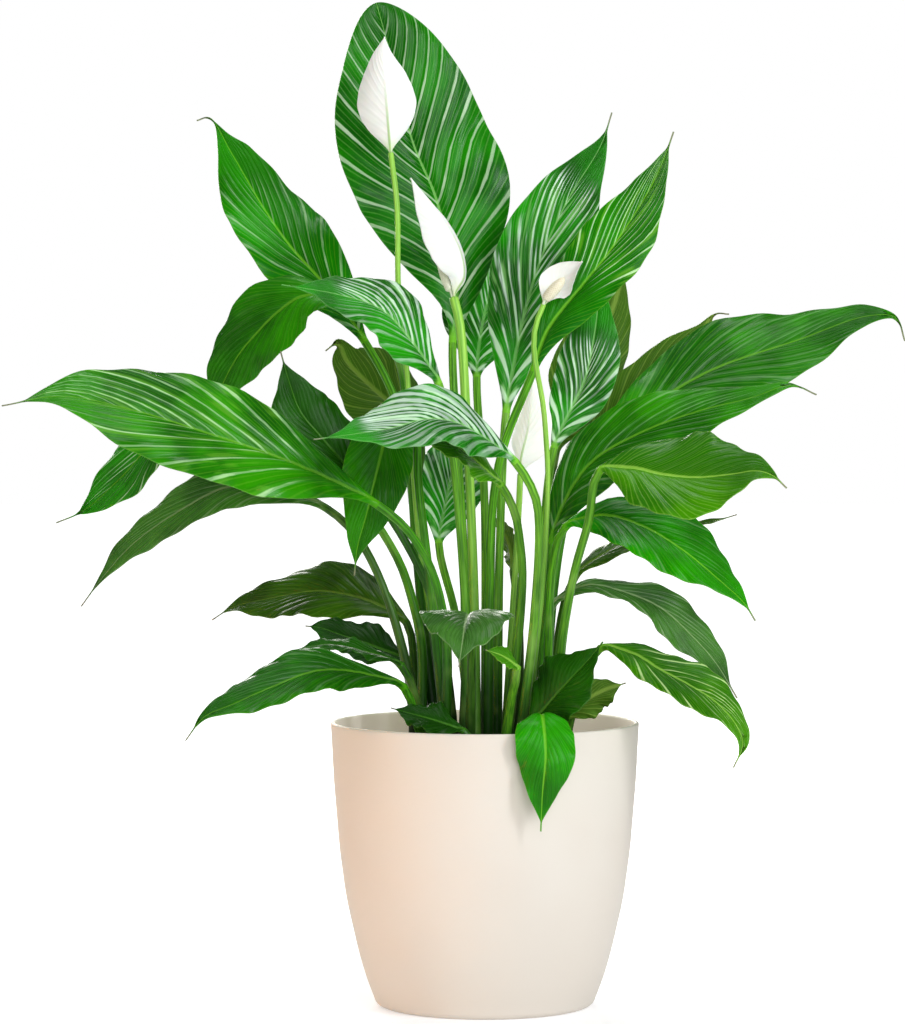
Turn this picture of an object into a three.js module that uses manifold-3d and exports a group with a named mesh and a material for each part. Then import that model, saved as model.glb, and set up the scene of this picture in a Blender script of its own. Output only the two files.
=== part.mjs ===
// Potted peace lily: a cream pot, its soil, the leaves and four blooms on stalks of their own.
// Millimetres, +Z up, the viewer's side is -Y. The origin is the middle of the pot's foot.
import * as THREE from "three";
import { mergeVertices } from "three/addons/utils/BufferGeometryUtils.js";
import Module from "manifold-3d";

// ---- driving dimensions ----
const GAP = 0.3; // clearance between pieces that touch

const POT_HEIGHT = 184;
const POT_RIM_RADIUS = 100;
const POT_FOOT_RADIUS = 72;
const POT_WALL = 3;
const POT_FLOOR = 4;
const FOOT_ROUND = 6; // radius of the rounded edge round the foot
const FOOT_ARC_END = -0.15; // radians from level where the rounded edge meets the wall
const POT_SIDES = 40;
// Bowed outside of the pot: radius as a share of the rim's, height as a share of the pot's.
const POT_BOW = [[0.76, 0.08], [0.82, 0.19], [0.9, 0.38], [0.943, 0.55], [0.982, 0.8]];
const INNER_BOW_START = 0.03; // height share at which the inner wall has the foot's radius
const WALL_HEIGHTS = [15, 35, 70, 115]; // of the inner wall's bends

const SOIL_TOP = 168;
const SOIL_BOTTOM = POT_FLOOR + GAP;
const SOIL_CLEARANCE = 0.4; // from the pot's wall
const ROOT_DEPTH = 10; // how far a stem goes down into the soil
const ROOT_Z = SOIL_TOP - ROOT_DEPTH;
const HOLE_SIDES = 8;
const HOLE_OVERSHOOT = 5; // of the hole's cutter above the soil

const COLUMNS = [-1, -0.5, 0, 0.5, 1]; // points across a blade, margin to margin
// Quarter turn of the ring that the same points make round a stem.
const HALF_RING_TURN = (Math.PI * (COLUMNS.length - 1)) / (2 * COLUMNS.length);
const EYE = [-21, -2580, 395]; // the leaves are placed as seen from here
const LEAN_POWER = 1.5; // how late along a leaf its lean toward or away from the eye grows
const CURVE_STEPS = 60; // between two hand-set points, to measure a curve's length
const STEM_STEP = 90; // longest stretch of a stem between two rings, about
const SHEATH_RADIUS = 3.7; // of a leaf stalk where it enters the soil
const SHEATH_SHARE = 0.62; // of the stalk over which it thins to the blade's neck
const BLOOM_SWELL = 0.8; // how much thicker a bloom's stalk is at the soil
const BLOOM_SWELL_SHARE = 0.5; // of the stalk over which that is gone
const TIP_HALF_WIDTH = 0.7;
const BLEND = 0.09; // share of the blade over which the round stalk flattens into it
const RIB_SHARE = 0.77; // of the blade's length that has a thicker midrib
const RIB_SPREAD = 0.5; // share of a half blade over which the midrib's thickness is gone
const FULL_WAVE_AT = 12; // half width from which the margin's waves have their full depth

// wide: where along the midrib a blade is widest. baseDraw, tipDraw: how drawn out its ends are,
// 0.5 for a round one and over 1 for a long point.
// tail: share of the blade that is a thin drawn-out tip.
// fold: how steeply a blade's halves rise from the midrib. droop: how far they sag again toward
// the margin. wave, waves: depth and number of the margin's waves. rings: sections along it.
const LEAF_FORM = {
  wide: 0.42, baseDraw: 1, tipDraw: 1.15, tail: 0.05, fold: 0.3, droop: 0.25, wave: 2, waves: 2.5,
  rings: 10, neck: 2.7, thick: 0.7, rib: 2.6,
};
const SPATHE_FORM = {
  wide: 0.42, baseDraw: 0.9, tipDraw: 1.1, tail: 0, fold: 0, droop: -0.5, wave: 0.6, waves: 1.5,
  rings: 10, neck: 0.9, thick: 0.8, rib: 1.4,
};
const FOOT_RADIUS = 0.9; // of a spathe's and a spadix's foot on the stalk's top
const FOOT_GAP = 0.5;
const FOOT_RISE = 2.5; // both feet start straight up from the stalk for this far
const FOOT_OFFSET = 1.1; // of each foot from the stalk's axis
const SPADIX_RADIUS = 3.6;
const SPADIX_NECK = 0.15; // share of the spadix's length that is its bare neck
const SPADIX_RINGS = 10;
const SPADIX_ENDS = 0.3; // thinnest share of its radius, at the ends
const SPADIX_START = 0.15; // where in a half wave the knobbly part starts, so its foot is blunt
const SPADIX_FULLNESS = 0.4; // the lower, the more like a cylinder
const FLORET_RELIEF = 0.35;

const LEAF_GREEN = { color: 0x1f6f12, roughness: 0.35, metalness: 0 };
const STALK_GREEN = { color: 0x5fa32a, roughness: 0.45, metalness: 0 };
const SPATHE_WHITE = { color: 0xf6f4ee, roughness: 0.5, metalness: 0 };
const SPADIX_CREAM = { color: 0xe6dcb8, roughness: 0.8, metalness: 0 };
const POT_CREAM = { color: 0xebdfcd, roughness: 0.6, metalness: 0 };
const SOIL_BROWN = { color: 0x3a2a1e, roughness: 0.95, metalness: 0 };

// ---- the leaves ----
// root: where the stalk enters the soil. stalk: points on the way up. blade: the midrib from the
// blade's base to its tip, both for a leaf that stays level with the clump. lean: how much farther
// from the eye than that its tip is, or nearer. width: widest, across both halves. face: which way
// the upper side looks at the base, and faceTip at the tip. The rest is under LEAF_FORM.
const LEAVES = [
  { name: "leaf_top", root: [-10, 22], stalk: [[-12, 28, 230], [-14, 36, 300], [-19, 42, 380]],
    blade: [[-21, 44, 430], [-18, 48, 459], [-23, 50, 488], [-32, 52, 526], [-47, 52, 562],
      [-61, 48, 617], [-71, 40, 653]],
    width: 106, lean: 40, wide: 0.5, baseDraw: 1.4, tipDraw: 0.55, tail: 0, face: [0.15, -1, 0.3], wave: 3,
    rings: 13 },
  { name: "leaf_left_upper", root: [-35, 25], stalk: [[-43, 28, 280], [-57, 30, 388]],
    blade: [[-78, 28, 430], [-104, 30, 467], [-127, 34, 493], [-144, 40, 517], [-167, 46, 556],
      [-181, 46, 578], [-189, 42, 576]],
    width: 63, lean: 100, wide: 0.48, baseDraw: 0.85, tipDraw: 1.3, face: [0.35, -0.9, 0.4],
    wave: 4, rings: 12 },
  { name: "leaf_left_inner", root: [-14, -14],
    stalk: [[-12, -13, 240], [-17, -13, 320], [-22, -14, 365]],
    blade: [[-30, -18, 403], [-47, -26, 430], [-67, -32, 451], [-94, -36, 460], [-117, -38, 464],
      [-130, -38, 466]],
    width: 52, lean: -10, face: [0.6, -0.7, 0.4], faceTip: [0, -0.6, 0.8], rings: 11 },
  { name: "leaf_left_drooping", root: [-31, 10],
    stalk: [[-37, 14, 220], [-45, 17, 300], [-49, 15, 360], [-55, 10, 415], [-69, 0, 443]],
    blade: [[-88, -6, 452], [-103, -8, 460], [-119, -9, 459], [-134, -10, 449], [-147, -11, 436],
      [-160, -12, 420], [-172, -12, 396], [-178, -12, 374]],
    width: 56, lean: 40, wide: 0.45, face: [0.2, -0.7, 0.7], faceTip: [-0.5, -0.75, 0.4], rings: 11 },
  { name: "leaf_left_long", root: [-26, -30],
    stalk: [[-25, -34, 240], [-34, -38, 283], [-50, -42, 310]],
    blade: [[-69, -46, 326], [-90, -49, 338], [-128, -53, 355], [-174, -57, 371],
      [-222, -60, 386], [-268, -62, 395], [-306, -61, 389]],
    width: 82, lean: -90, wide: 0.5, face: [0, -0.75, 0.65], wave: 3, rings: 14 },
  { name: "leaf_left_far", root: [-42, 8],
    stalk: [[-41, 7, 232], [-47, 7, 262], [-57, 9, 290], [-84, 14, 330]],
    blade: [[-118, 24, 362], [-145, 32, 374], [-176, 42, 380], [-212, 52, 370], [-241, 60, 341],
      [-266, 64, 319], [-284, 62, 311]],
    width: 44, lean: 50, wide: 0.6, tipDraw: 0.7, tail: 0.08, face: [-0.2, -0.7, 0.7],
    faceTip: [-0.5, -0.75, 0.4], rings: 11 },
  { name: "leaf_left_hanging", root: [-46, -4],
    stalk: [[-47, -4, 200], [-58, -2, 248], [-71, 2, 283], [-84, 6, 305]],
    blade: [[-103, 12, 322], [-132, 18, 333], [-166, 24, 336], [-200, 28, 320], [-232, 32, 297],
      [-254, 34, 272], [-265, 34, 257]],
    width: 37, lean: -10, face: [0, -0.75, 0.65], faceTip: [-0.5, -0.7, 0.5], rings: 11 },
  { name: "leaf_left_olive", root: [-44, 30], stalk: [[-46, 30, 210]],
    blade: [[-51, 30, 246], [-72, 33, 259], [-92, 35, 265], [-112, 37, 267], [-142, 38, 262],
      [-166, 38, 256], [-179, 36, 248]],
    width: 54, lean: 90, face: [0.1, -0.7, 0.7], rings: 10 },
  { name: "leaf_left_dark", root: [-44, 16], stalk: [[-46, 15, 195]],
    blade: [[-52, 15, 222], [-70, 16, 231], [-93, 18, 239], [-108, 18, 244], [-117, 18, 245]],
    width: 34, lean: 20, face: [0, -0.65, 0.75], tipDraw: 0.7, rings: 8 },
  { name: "leaf_left_narrow", root: [-34, -12], stalk: [[-42, -14, 192]],
    blade: [[-54, -13, 221], [-80, -11, 231], [-101, -10, 235], [-124, -10, 231]],
    width: 24, lean: -40, face: [0, -0.35, 0.95], rings: 8 },
  { name: "leaf_left_low", root: [-38, -24], stalk: [[-44, -28, 185]],
    blade: [[-52, -30, 208], [-75, -36, 217], [-106, -42, 220], [-138, -46, 209],
      [-161, -50, 199], [-179, -52, 191], [-191, -52, 176]],
    width: 42, lean: -80, face: [0, -0.6, 0.8], faceTip: [-0.3, -0.7, 0.6], rings: 11 },
  { name: "leaf_left_rim", root: [-4, -48], stalk: [[-7, -51, 173]],
    blade: [[-14, -54, 182], [-30, -60, 189], [-46, -64, 194], [-60, -66, 198]],
    width: 34, lean: 20, face: [0.2, -0.5, 0.85], rings: 8 },
  { name: "leaf_middle_arching", root: [22, -36],
    stalk: [[31, -40, 250], [34, -44, 316], [31, -46, 333]],
    blade: [[19, -48, 353], [2, -54, 367], [-17, -61, 378], [-36, -68, 381], [-60, -76, 375],
      [-85, -82, 371], [-108, -85, 368]],
    width: 60, lean: -60, wide: 0.38, face: [0.45, -0.55, 0.7], faceTip: [-0.1, -0.6, 0.8],
    rings: 12 },
  { name: "leaf_middle_under", root: [14, -20],
    stalk: [[24, -22, 277], [22, -24, 304], [19, -26, 320]],
    blade: [[10, -30, 338], [-4, -34, 352], [-20, -38, 364], [-36, -40, 369], [-52, -42, 370]],
    width: 38, lean: -50, face: [0.45, -0.55, 0.7], faceTip: [-0.1, -0.6, 0.8], rings: 8 },
  { name: "leaf_left_peaked", root: [-20, -1], stalk: [[-33, -7, 260]],
    blade: [[-60, -8, 315], [-81, -8, 340], [-105, -8, 368], [-119, -8, 385], [-126, -8, 403],
      [-132, -8, 424]],
    width: 46, lean: -10, wide: 0.6, face: [0.3, -0.9, 0.3], rings: 9 },
  { name: "leaf_back_left", root: [-27, 41],
    stalk: [[-36, 42, 230], [-43, 45, 300], [-44, 47, 340]],
    blade: [[-42, 48, 366], [-57, 50, 386], [-74, 54, 401], [-91, 56, 418], [-97, 56, 430],
      [-105, 54, 425]],
    width: 60, lean: 80, face: [0.2, 0.9, 0.35], rings: 9 },
  { name: "leaf_front_nodding", root: [-10, -38], stalk: [[-9, -40, 215], [-9, -46, 240]],
    blade: [[-10, -58, 254], [-11, -72, 258], [-13, -90, 253], [-15, -104, 241],
      [-17, -112, 227]],
    width: 58, lean: -70, wide: 0.36, face: [0, 0.6, 0.8], faceTip: [0, -0.9, 0.45], rings: 9 },
  { name: "leaf_front_small", root: [12, -42], stalk: [[17, -46, 205]],
    blade: [[20, -50, 222], [11, -53, 230], [0, -55, 234]],
    width: 16, lean: -20, face: [0.5, -0.6, 0.6], wave: 1, rings: 7 },
  { name: "leaf_middle_hanging", root: [-25, -19], stalk: [[-36, -20, 280], [-43, -20, 340]],
    blade: [[-45, -21, 372], [-52, -23, 383], [-62, -25, 372], [-70, -26, 345],
      [-76, -27, 320], [-82, -27, 298], [-84, -26, 280]],
    width: 44, lean: -10, face: [0.1, -1, 0.2], faceTip: [-0.3, -0.95, 0.1], rings: 10 },
  { name: "leaf_back_middle", root: [-8, 44], stalk: [[-19, 52, 250]],
    blade: [[-30, 53, 297], [-26, 56, 322], [-21, 62, 346], [-17, 72, 365], [-13, 84, 379]],
    width: 48, lean: 90, face: [0.1, -0.8, 0.55], rings: 9 },
  { name: "leaf_back_small", root: [22, 34], stalk: [[23, 38, 240]],
    blade: [[19, 40, 280], [16, 40, 298], [9, 40, 310], [-1, 39, 317]],
    width: 20, lean: 80, face: [0.3, 0.7, 0.6], wave: 1, rings: 7 },
  { name: "leaf_right_upper", root: [8, 16], stalk: [[10, 22, 300]],
    blade: [[14, 26, 384], [19, 28, 415], [27, 30, 453], [40, 30, 493], [56, 28, 526],
      [76, 26, 559], [83, 24, 580]],
    width: 60, lean: 20, wide: 0.5, face: [0, -0.95, 0.3], rings: 12 },
  { name: "leaf_back_upper", root: [1, 36], stalk: [[0, 50, 330]],
    blade: [[-5, 58, 407], [-2, 64, 438], [5, 70, 470], [10, 74, 495], [14, 78, 515]],
    width: 58, lean: 80, face: [0, -1, 0.2], rings: 9 },
  { name: "leaf_right_inner", root: [2, -6], stalk: [[3, -8, 263], [6, -9, 334], [13, -10, 366]],
    blade: [[31, -10, 411], [40, -10, 437], [63, -8, 467], [80, -6, 488], [107, -2, 530],
      [117, 0, 552], [122, 2, 566]],
    width: 48, lean: -20, wide: 0.5, face: [-0.2, -0.9, 0.4], rings: 12 },
  { name: "leaf_right_streaked", root: [24, 10], stalk: [[36, 8, 280]],
    blade: [[45, 12, 361], [56, 15, 386], [65, 17, 405], [71, 18, 432], [74, 19, 458],
      [73, 20, 479]],
    width: 42, lean: 30, face: [-0.2, -0.95, 0.2], rings: 10 },
  { name: "leaf_back_right", root: [32, 26], stalk: [[42, 34, 280]],
    blade: [[47, 42, 358], [60, 50, 390], [74, 56, 425], [86, 60, 455], [94, 60, 487]],
    width: 52, lean: 120, face: [0, 0.9, 0.4], rings: 10 },
  { name: "leaf_right_long", root: [38, 4], stalk: [[45, 6, 270], [55, 9, 325]],
    blade: [[71, 14, 363], [90, 17, 378], [114, 20, 393], [150, 21, 413], [205, 18, 432],
      [248, 12, 447], [267, 10, 446], [273, 10, 431]],
    width: 66, lean: 80, wide: 0.42, face: [-0.3, -0.85, 0.5], faceTip: [0, -0.75, 0.65], wave: 3,
    rings: 13 },
  { name: "leaf_back_right_low", root: [40, 20], stalk: [[46, 22, 290]],
    blade: [[60, 30, 352], [82, 36, 375], [107, 42, 398], [126, 45, 420], [143, 46, 437],
      [152, 45, 449], [161, 44, 449]],
    width: 44, lean: 120, face: [0, 0.9, 0.3], rings: 10 },
  { name: "leaf_right_broad", root: [30, -12], stalk: [[38, -12, 240]],
    blade: [[43, -12, 300], [50, -13, 324], [68, -14, 352], [101, -16, 372], [139, -18, 386],
      [171, -20, 394], [197, -20, 402], [213, -20, 396]],
    width: 54, lean: -10, wide: 0.36, face: [-0.5, -0.75, 0.4], faceTip: [-0.1, -0.7, 0.7],
    rings: 13 },
  { name: "leaf_right_lime", root: [46, -32],
    stalk: [[48, -40, 230], [53, -50, 266], [58, -56, 290], [65, -61, 315]],
    blade: [[72, -66, 348], [92, -68, 350], [111, -69, 346], [133, -70, 344], [155, -70, 346],
      [171, -70, 348], [181, -69, 345], [190, -67, 337]],
    width: 68, lean: -90, wide: 0.46, baseDraw: 0.85, tipDraw: 1.3, face: [0, -0.75, 0.6],
    rings: 12 },
  { name: "leaf_right_glossy", root: [40, -21], stalk: [[41, -20, 240], [43, -22, 281]],
    blade: [[51, -32, 311], [75, -38, 319], [101, -41, 312], [126, -43, 297], [149, -44, 278],
      [165, -45, 263], [172, -45, 252]],
    width: 56, lean: -60, face: [0.1, -0.65, 0.75], rings: 12 },
  { name: "leaf_right_behind", root: [48, 10], stalk: [[46, 10, 220]],
    blade: [[58, 10, 276], [80, 10, 294], [104, 10, 304], [132, 10, 310], [150, 10, 314],
      [164, 10, 318]],
    width: 34, lean: 80, face: [-0.2, -0.3, 0.9], rings: 8 },
  { name: "leaf_right_twisted", root: [46, -8], stalk: [[41, -6, 220]],
    blade: [[42, -5, 256], [52, -4, 267], [68, -4, 273], [91, -4, 268], [114, -5, 258],
      [133, -6, 241], [149, -8, 223], [163, -10, 200]],
    width: 34, lean: 20, wide: 0.6, face: [0, -0.2, 1], faceTip: [0.3, -0.95, 0.3], rings: 12 },
  { name: "leaf_right_low", root: [51, -20], stalk: [[60, -22, 205]],
    blade: [[74, -25, 233], [95, -28, 230], [112, -30, 220], [131, -32, 210], [148, -34, 199],
      [161, -34, 184], [165, -34, 172], [159, -34, 157]],
    width: 40, lean: -70, face: [0.1, -0.55, 0.8], faceTip: [0.4, -0.7, 0.5], rings: 11 },
  { name: "leaf_front_dark", root: [24, -48], stalk: [[26, -50, 174]],
    blade: [[29, -55, 186], [42, -61, 203], [54, -66, 217], [66, -68, 230], [74, -68, 240]],
    width: 50, lean: 0, face: [-0.3, -0.7, 0.6], rings: 8 },
  { name: "leaf_right_rim", root: [38, -43], stalk: [[42, -46, 176]],
    blade: [[48, -48, 188], [61, -51, 200], [75, -53, 208], [89, -55, 213]],
    width: 34, lean: -10, face: [-0.3, 0.8, 0.5], rings: 8 },
  { name: "leaf_over_rim", root: [34, -54], stalk: [[34, -62, 180]],
    blade: [[34, -74, 191], [35, -88, 196], [36, -101, 189], [37, -107, 172], [35, -108, 148],
      [34, -106, 124]],
    width: 38, lean: 0, face: [0, 0.2, 1], faceTip: [0, -1, 0.1], fold: 0.15, rings: 10 },
];

// ---- the blooms ----
// stalk: from the soil to its top. spathe: the white hood's midrib, from there to its tip.
// face: which way its hollow side looks. spadix: the far end of the knobbly spike, which stands
// on the stalk's top too.
const BLOOMS = [
  { name: "bloom_top", root: [-22, 14], radius: 1.8,
    stalk: [[-30, 12, 220], [-42, 10, 298], [-46, 8, 340], [-49, 6, 388], [-52, 5, 426],
      [-56, 5, 463], [-57, 6, 519], [-61, 8, 552]],
    spathe: [[-63, 4, 575], [-65, 4, 600], [-66, 7, 616], [-65, 10, 628]],
    width: 38, face: [0, 1, 0.15], spadix: [-64, 16, 592] },
  { name: "bloom_folded", root: [-6, -8], radius: 3,
    stalk: [[-7, -5, 257], [-9, -4, 320], [-12, -4, 380], [-16, -3, 440], [-20, -2, 458]],
    spathe: [[-14, -2, 472], [-16, -2, 488], [-25, -2, 506], [-35, -2, 519], [-48, -2, 536]],
    width: 31, droop: -0.8, face: [-0.8, 0.6, -0.3], spadix: [-30, 16, 487] },
  { name: "bloom_small", root: [28, -27], radius: 1.7,
    stalk: [[31, -31, 220], [37, -34, 280], [40, -33, 343], [39, -33, 365], [37, -33, 389],
      [33, -33, 411], [31, -33, 426], [32, -33, 440], [37, -33, 453]],
    spathe: [[42, -27, 460], [50, -26, 470], [57, -29, 477], [62, -33, 481]],
    width: 23, face: [-0.2, -1, 0.3], spadix: [50, -42, 470] },
  { name: "bloom_inner", root: [13, 4], radius: 2,
    stalk: [[17, 3, 240], [21, 2, 302], [23, 2, 344]],
    spathe: [[24, -4, 357], [28, -5, 374], [30, -3, 392], [31, 3, 409]],
    width: 28, face: [0.5, 0.8, 0.1], spadix: [31, 9, 370] },
];

const wasm = await Module();
wasm.setup();

const vec = (p) => new THREE.Vector3(p[0], p[1], p[2]);
const mix = THREE.MathUtils.lerp;
const ease = (t) => THREE.MathUtils.smoothstep(t, 0, 1);

// ---- solids from rings ----

// A closed solid from rings of points of equal count, with a flat fan over each end.
// A quad is split along its a-d diagonal up to ring point `turnAt` and along b-c from there on,
// so that a blade's lower face has the same triangles as its upper one.
function ringSolid(rings, turnAt) {
  const count = rings[0].length;
  const points = rings.flat();
  const faces = [];
  for (let i = 0; i + 1 < rings.length; i++) {
    for (let j = 0; j < count; j++) {
      const a = i * count + j;
      const b = i * count + ((j + 1) % count);
      const c = a + count;
      const d = b + count;
      if (j < turnAt) faces.push(a, b, d, a, d, c);
      else faces.push(a, b, c, b, d, c);
    }
  }
  capEnd(points, faces, rings[0], 0, false);
  capEnd(points, faces, rings.at(-1), (rings.length - 1) * count, true);
  const geometry = new THREE.BufferGeometry();
  const flat = points.flatMap((p) => [p.x, p.y, p.z]);
  geometry.setAttribute("position", new THREE.Float32BufferAttribute(flat, 3));
  geometry.setIndex(faces);
  return geometry;
}

function capEnd(points, faces, ring, start, isLast) {
  const middle = new THREE.Vector3();
  for (const p of ring) middle.addScaledVector(p, 1 / ring.length);
  const hub = points.push(middle) - 1;
  for (let j = 0; j < ring.length; j++) {
    const a = start + j;
    const b = start + ((j + 1) % ring.length);
    if (isLast) faces.push(a, b, hub);
    else faces.push(b, a, hub);
  }
}

// A smooth curve through hand-set points, measured by share of its length.
class Spine {
  constructor(points) {
    this.curve = new THREE.CatmullRomCurve3(points.map(vec), false, "centripetal");
    this.curve.arcLengthDivisions = CURVE_STEPS * (points.length - 1);
    this.length = this.curve.getLength();
  }

  shareAtPoint(index) {
    return this.curve.getLengths()[index * CURVE_STEPS] / this.length;
  }

  at(share) {
    return this.curve.getPointAt(share);
  }

  tangent(share) {
    return this.curve.getTangentAt(share).normalize();
  }
}

// The part of `direction` that is square to `tangent`.
function squareTo(direction, tangent) {
  return direction.clone().addScaledVector(tangent, -direction.dot(tangent)).normalize();
}

// ---- stalks and blades ----

// Ring points go over the upper face from u = -1 to 1 and back along the lower one.
function ringPoints(pointAt) {
  return [
    ...COLUMNS.map((u) => pointAt(u, 1)),
    ...COLUMNS.toReversed().map((u) => pointAt(u, -1)),
  ];
}

// The point of a round section that belongs to u, above (sign 1) or below (sign -1) its middle.
function roundPoint(frame, radius, u, sign) {
  const turn = Math.PI / 2 - u * HALF_RING_TURN;
  return frame.centre.clone()
    .addScaledVector(frame.side, radius * Math.cos(turn))
    .addScaledVector(frame.up, sign * radius * Math.sin(turn));
}

function roundRing(frame, radius) {
  return ringPoints((u, sign) => roundPoint(frame, radius, u, sign));
}

function frameAt(spine, share, upHint) {
  const tangent = spine.tangent(share);
  const up = squareTo(upHint, tangent);
  return { centre: spine.at(share), up, side: new THREE.Vector3().crossVectors(tangent, up) };
}

// Rings of a round stem between two shares of its spine, carrying `up` down from the far end.
function stemRings(spine, shares, upEnd, radiusAt) {
  const rings = [];
  let up = upEnd;
  for (const share of shares.toReversed()) {
    const frame = frameAt(spine, share, up);
    up = frame.up;
    rings.unshift(roundRing(frame, radiusAt(share)));
  }
  return rings;
}

// Shares for a stem's rings: at each of its hand-set points, and between two that are far apart.
function stemShares(spine, count) {
  const shares = [0];
  for (let i = 1; i < count; i++) {
    const from = spine.shareAtPoint(i - 1);
    const to = spine.shareAtPoint(i);
    const steps = Math.max(1, Math.round(((to - from) * spine.length) / STEM_STEP));
    for (let k = 1; k <= steps; k++) shares.push(mix(from, to, k / steps));
  }
  return shares;
}

// Half the blade's width at a share of its length: two quarter waves that meet at blade.wide,
// and the tail's thin end.
function halfWidth(blade, s) {
  const end = 1 - blade.tail;
  const toTip = s > blade.wide;
  const along = toTip ? Math.max(0, end - s) / (end - blade.wide) : s / blade.wide;
  const shape = Math.sin((Math.PI / 2) * along) ** (toTip ? blade.tipDraw : blade.baseDraw);
  return Math.max((blade.width / 2) * shape, TIP_HALF_WIDTH);
}

// Height of the blade's middle surface over the midrib, at u from -1 to 1 across the blade.
function surfaceHeight(blade, s, u, half) {
  const across = Math.abs(u);
  const dish = half * (blade.fold * across - blade.droop * across ** 2);
  const phase = 2 * Math.PI * (blade.waves * s + (u > 0 ? 0.25 : 0));
  return dish + blade.wave * Math.min(1, half / FULL_WAVE_AT) * Math.sin(phase) * across ** 2;
}

function thicknessAt(blade, s, u) {
  const rib = mix(blade.rib, blade.thick, Math.min(1, s / RIB_SHARE));
  return mix(rib, blade.thick, Math.min(1, Math.abs(u) / RIB_SPREAD));
}

function bladeRing(blade, s, frame) {
  const half = halfWidth(blade, s);
  const blend = ease(s / BLEND);
  return ringPoints((u, sign) => {
    const lift = surfaceHeight(blade, s, u, half) + (sign * thicknessAt(blade, s, u)) / 2;
    const flat = frame.centre.clone()
      .addScaledVector(frame.side, u * half)
      .addScaledVector(frame.up, lift);
    return roundPoint(frame, blade.neck, u, sign).lerp(flat, blend);
  });
}

// Rings of the blade from share `start` of its spine to the tip.
function bladeRings(blade, spine, start) {
  const faceBase = vec(blade.face);
  const faceTip = vec(blade.faceTip ?? blade.face);
  const rings = [];
  for (let i = 0; i <= blade.rings; i++) {
    const s = i / blade.rings;
    const frame = frameAt(spine, mix(start, 1, s), faceBase.clone().lerp(faceTip, s));
    rings.push(bladeRing(blade, s, frame));
  }
  return rings;
}

// A point moved away from the eye along its line of sight, by a depth in Y.
function pushedBack([x, y, z], depth) {
  const grow = (y - EYE[1] + depth) / (y - EYE[1]);
  return [mix(EYE[0], x, grow), y + depth, mix(EYE[2], z, grow)];
}

// The points above the soil with the leaf's lean, which grows toward the tip.
function leanedPoints(leaf) {
  const points = [...leaf.stalk, ...leaf.blade];
  const reach = [];
  let from = vec([...leaf.root, SOIL_TOP]);
  for (const point of points) {
    const to = vec(point);
    reach.push((reach.at(-1) ?? 0) + from.distanceTo(to));
    from = to;
  }
  return points.map((point, i) => (
    pushedBack(point, leaf.lean * (reach[i] / reach.at(-1)) ** LEAN_POWER)));
}

function leafSolid(spec) {
  const leaf = { ...LEAF_FORM, ...spec };
  const spine = new Spine([
    [...leaf.root, ROOT_Z], [...leaf.root, SOIL_TOP], ...leanedPoints(leaf)]);
  const base = spine.shareAtPoint(leaf.stalk.length + 2);
  const up = squareTo(vec(leaf.face), spine.tangent(base));
  const thinAt = SHEATH_SHARE * base;
  const radiusAt = (share) => mix(SHEATH_RADIUS, leaf.neck, Math.min(1, share / thinAt));
  const shares = stemShares(spine, leaf.stalk.length + 3).slice(0, -1);
  const stem = stemRings(spine, shares, up, radiusAt);
  return ringSolid([...stem, ...bladeRings(leaf, spine, base)], COLUMNS.length);
}

// ---- a bloom ----

// The stalk's top, its direction there, and the way the spathe's hollow side faces.
function bloomTop(bloom) {
  const spine = bloomSpine(bloom);
  const along = spine.tangent(1);
  const place = spine.at(1).addScaledVector(along, FOOT_GAP);
  return { place, along, front: squareTo(vec(bloom.face), along) };
}

function bloomSpine(bloom) {
  return new Spine([[...bloom.root, ROOT_Z], [...bloom.root, SOIL_TOP], ...bloom.stalk]);
}

function bloomStalk(bloom) {
  const spine = bloomSpine(bloom);
  const radiusAt = (share) => (
    bloom.radius + BLOOM_SWELL * Math.max(0, 1 - share / BLOOM_SWELL_SHARE));
  const shares = stemShares(spine, bloom.stalk.length + 2);
  const rings = stemRings(spine, shares, vec(bloom.face), radiusAt);
  return ringSolid(rings, COLUMNS.length);
}

// The white hood stands on the back half of the stalk's top.
function spatheSolid(bloom) {
  const spathe = { ...SPATHE_FORM, ...bloom };
  const top = bloomTop(bloom);
  const foot = top.place.clone().addScaledVector(top.front, -FOOT_OFFSET);
  const rise = foot.clone().addScaledVector(top.along, FOOT_RISE);
  const spine = new Spine([foot.toArray(), rise.toArray(), ...bloom.spathe]);
  return ringSolid(bladeRings(spathe, spine, 0), COLUMNS.length);
}

// Thickness of the spike along it, as a share of its widest: blunt at both ends.
function spikeShape(s) {
  const along = (s - SPADIX_NECK) / (1 - SPADIX_NECK);
  const turn = Math.PI * Math.min(1, mix(SPADIX_START, 1, along));
  return Math.max(SPADIX_ENDS, Math.sin(turn) ** SPADIX_FULLNESS);
}

// The knobbly spike stands on the front half: a short neck, then rows of small florets.
function spadixSolid(bloom) {
  const top = bloomTop(bloom);
  const foot = top.place.clone().addScaledVector(top.front, FOOT_OFFSET);
  const rise = foot.clone().addScaledVector(top.along, FOOT_RISE);
  const spine = new Spine([foot.toArray(), rise.toArray(), bloom.spadix]);
  const rings = [];
  for (let i = 0; i <= SPADIX_RINGS; i++) {
    const s = i / SPADIX_RINGS;
    const frame = frameAt(spine, s, top.front);
    const isNeck = s <= SPADIX_NECK;
    const radius = isNeck ? FOOT_RADIUS : SPADIX_RADIUS * spikeShape(s);
    const knob = isNeck ? 0 : FLORET_RELIEF;
    let number = 0;
    rings.push(ringPoints((u, sign) => {
      number += 1;
      const bump = (number + i) % 2 ? knob : -knob;
      return roundPoint(frame, radius + bump, u, sign);
    }));
  }
  return ringSolid(rings, COLUMNS.length);
}

// ---- pot and soil ----

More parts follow.
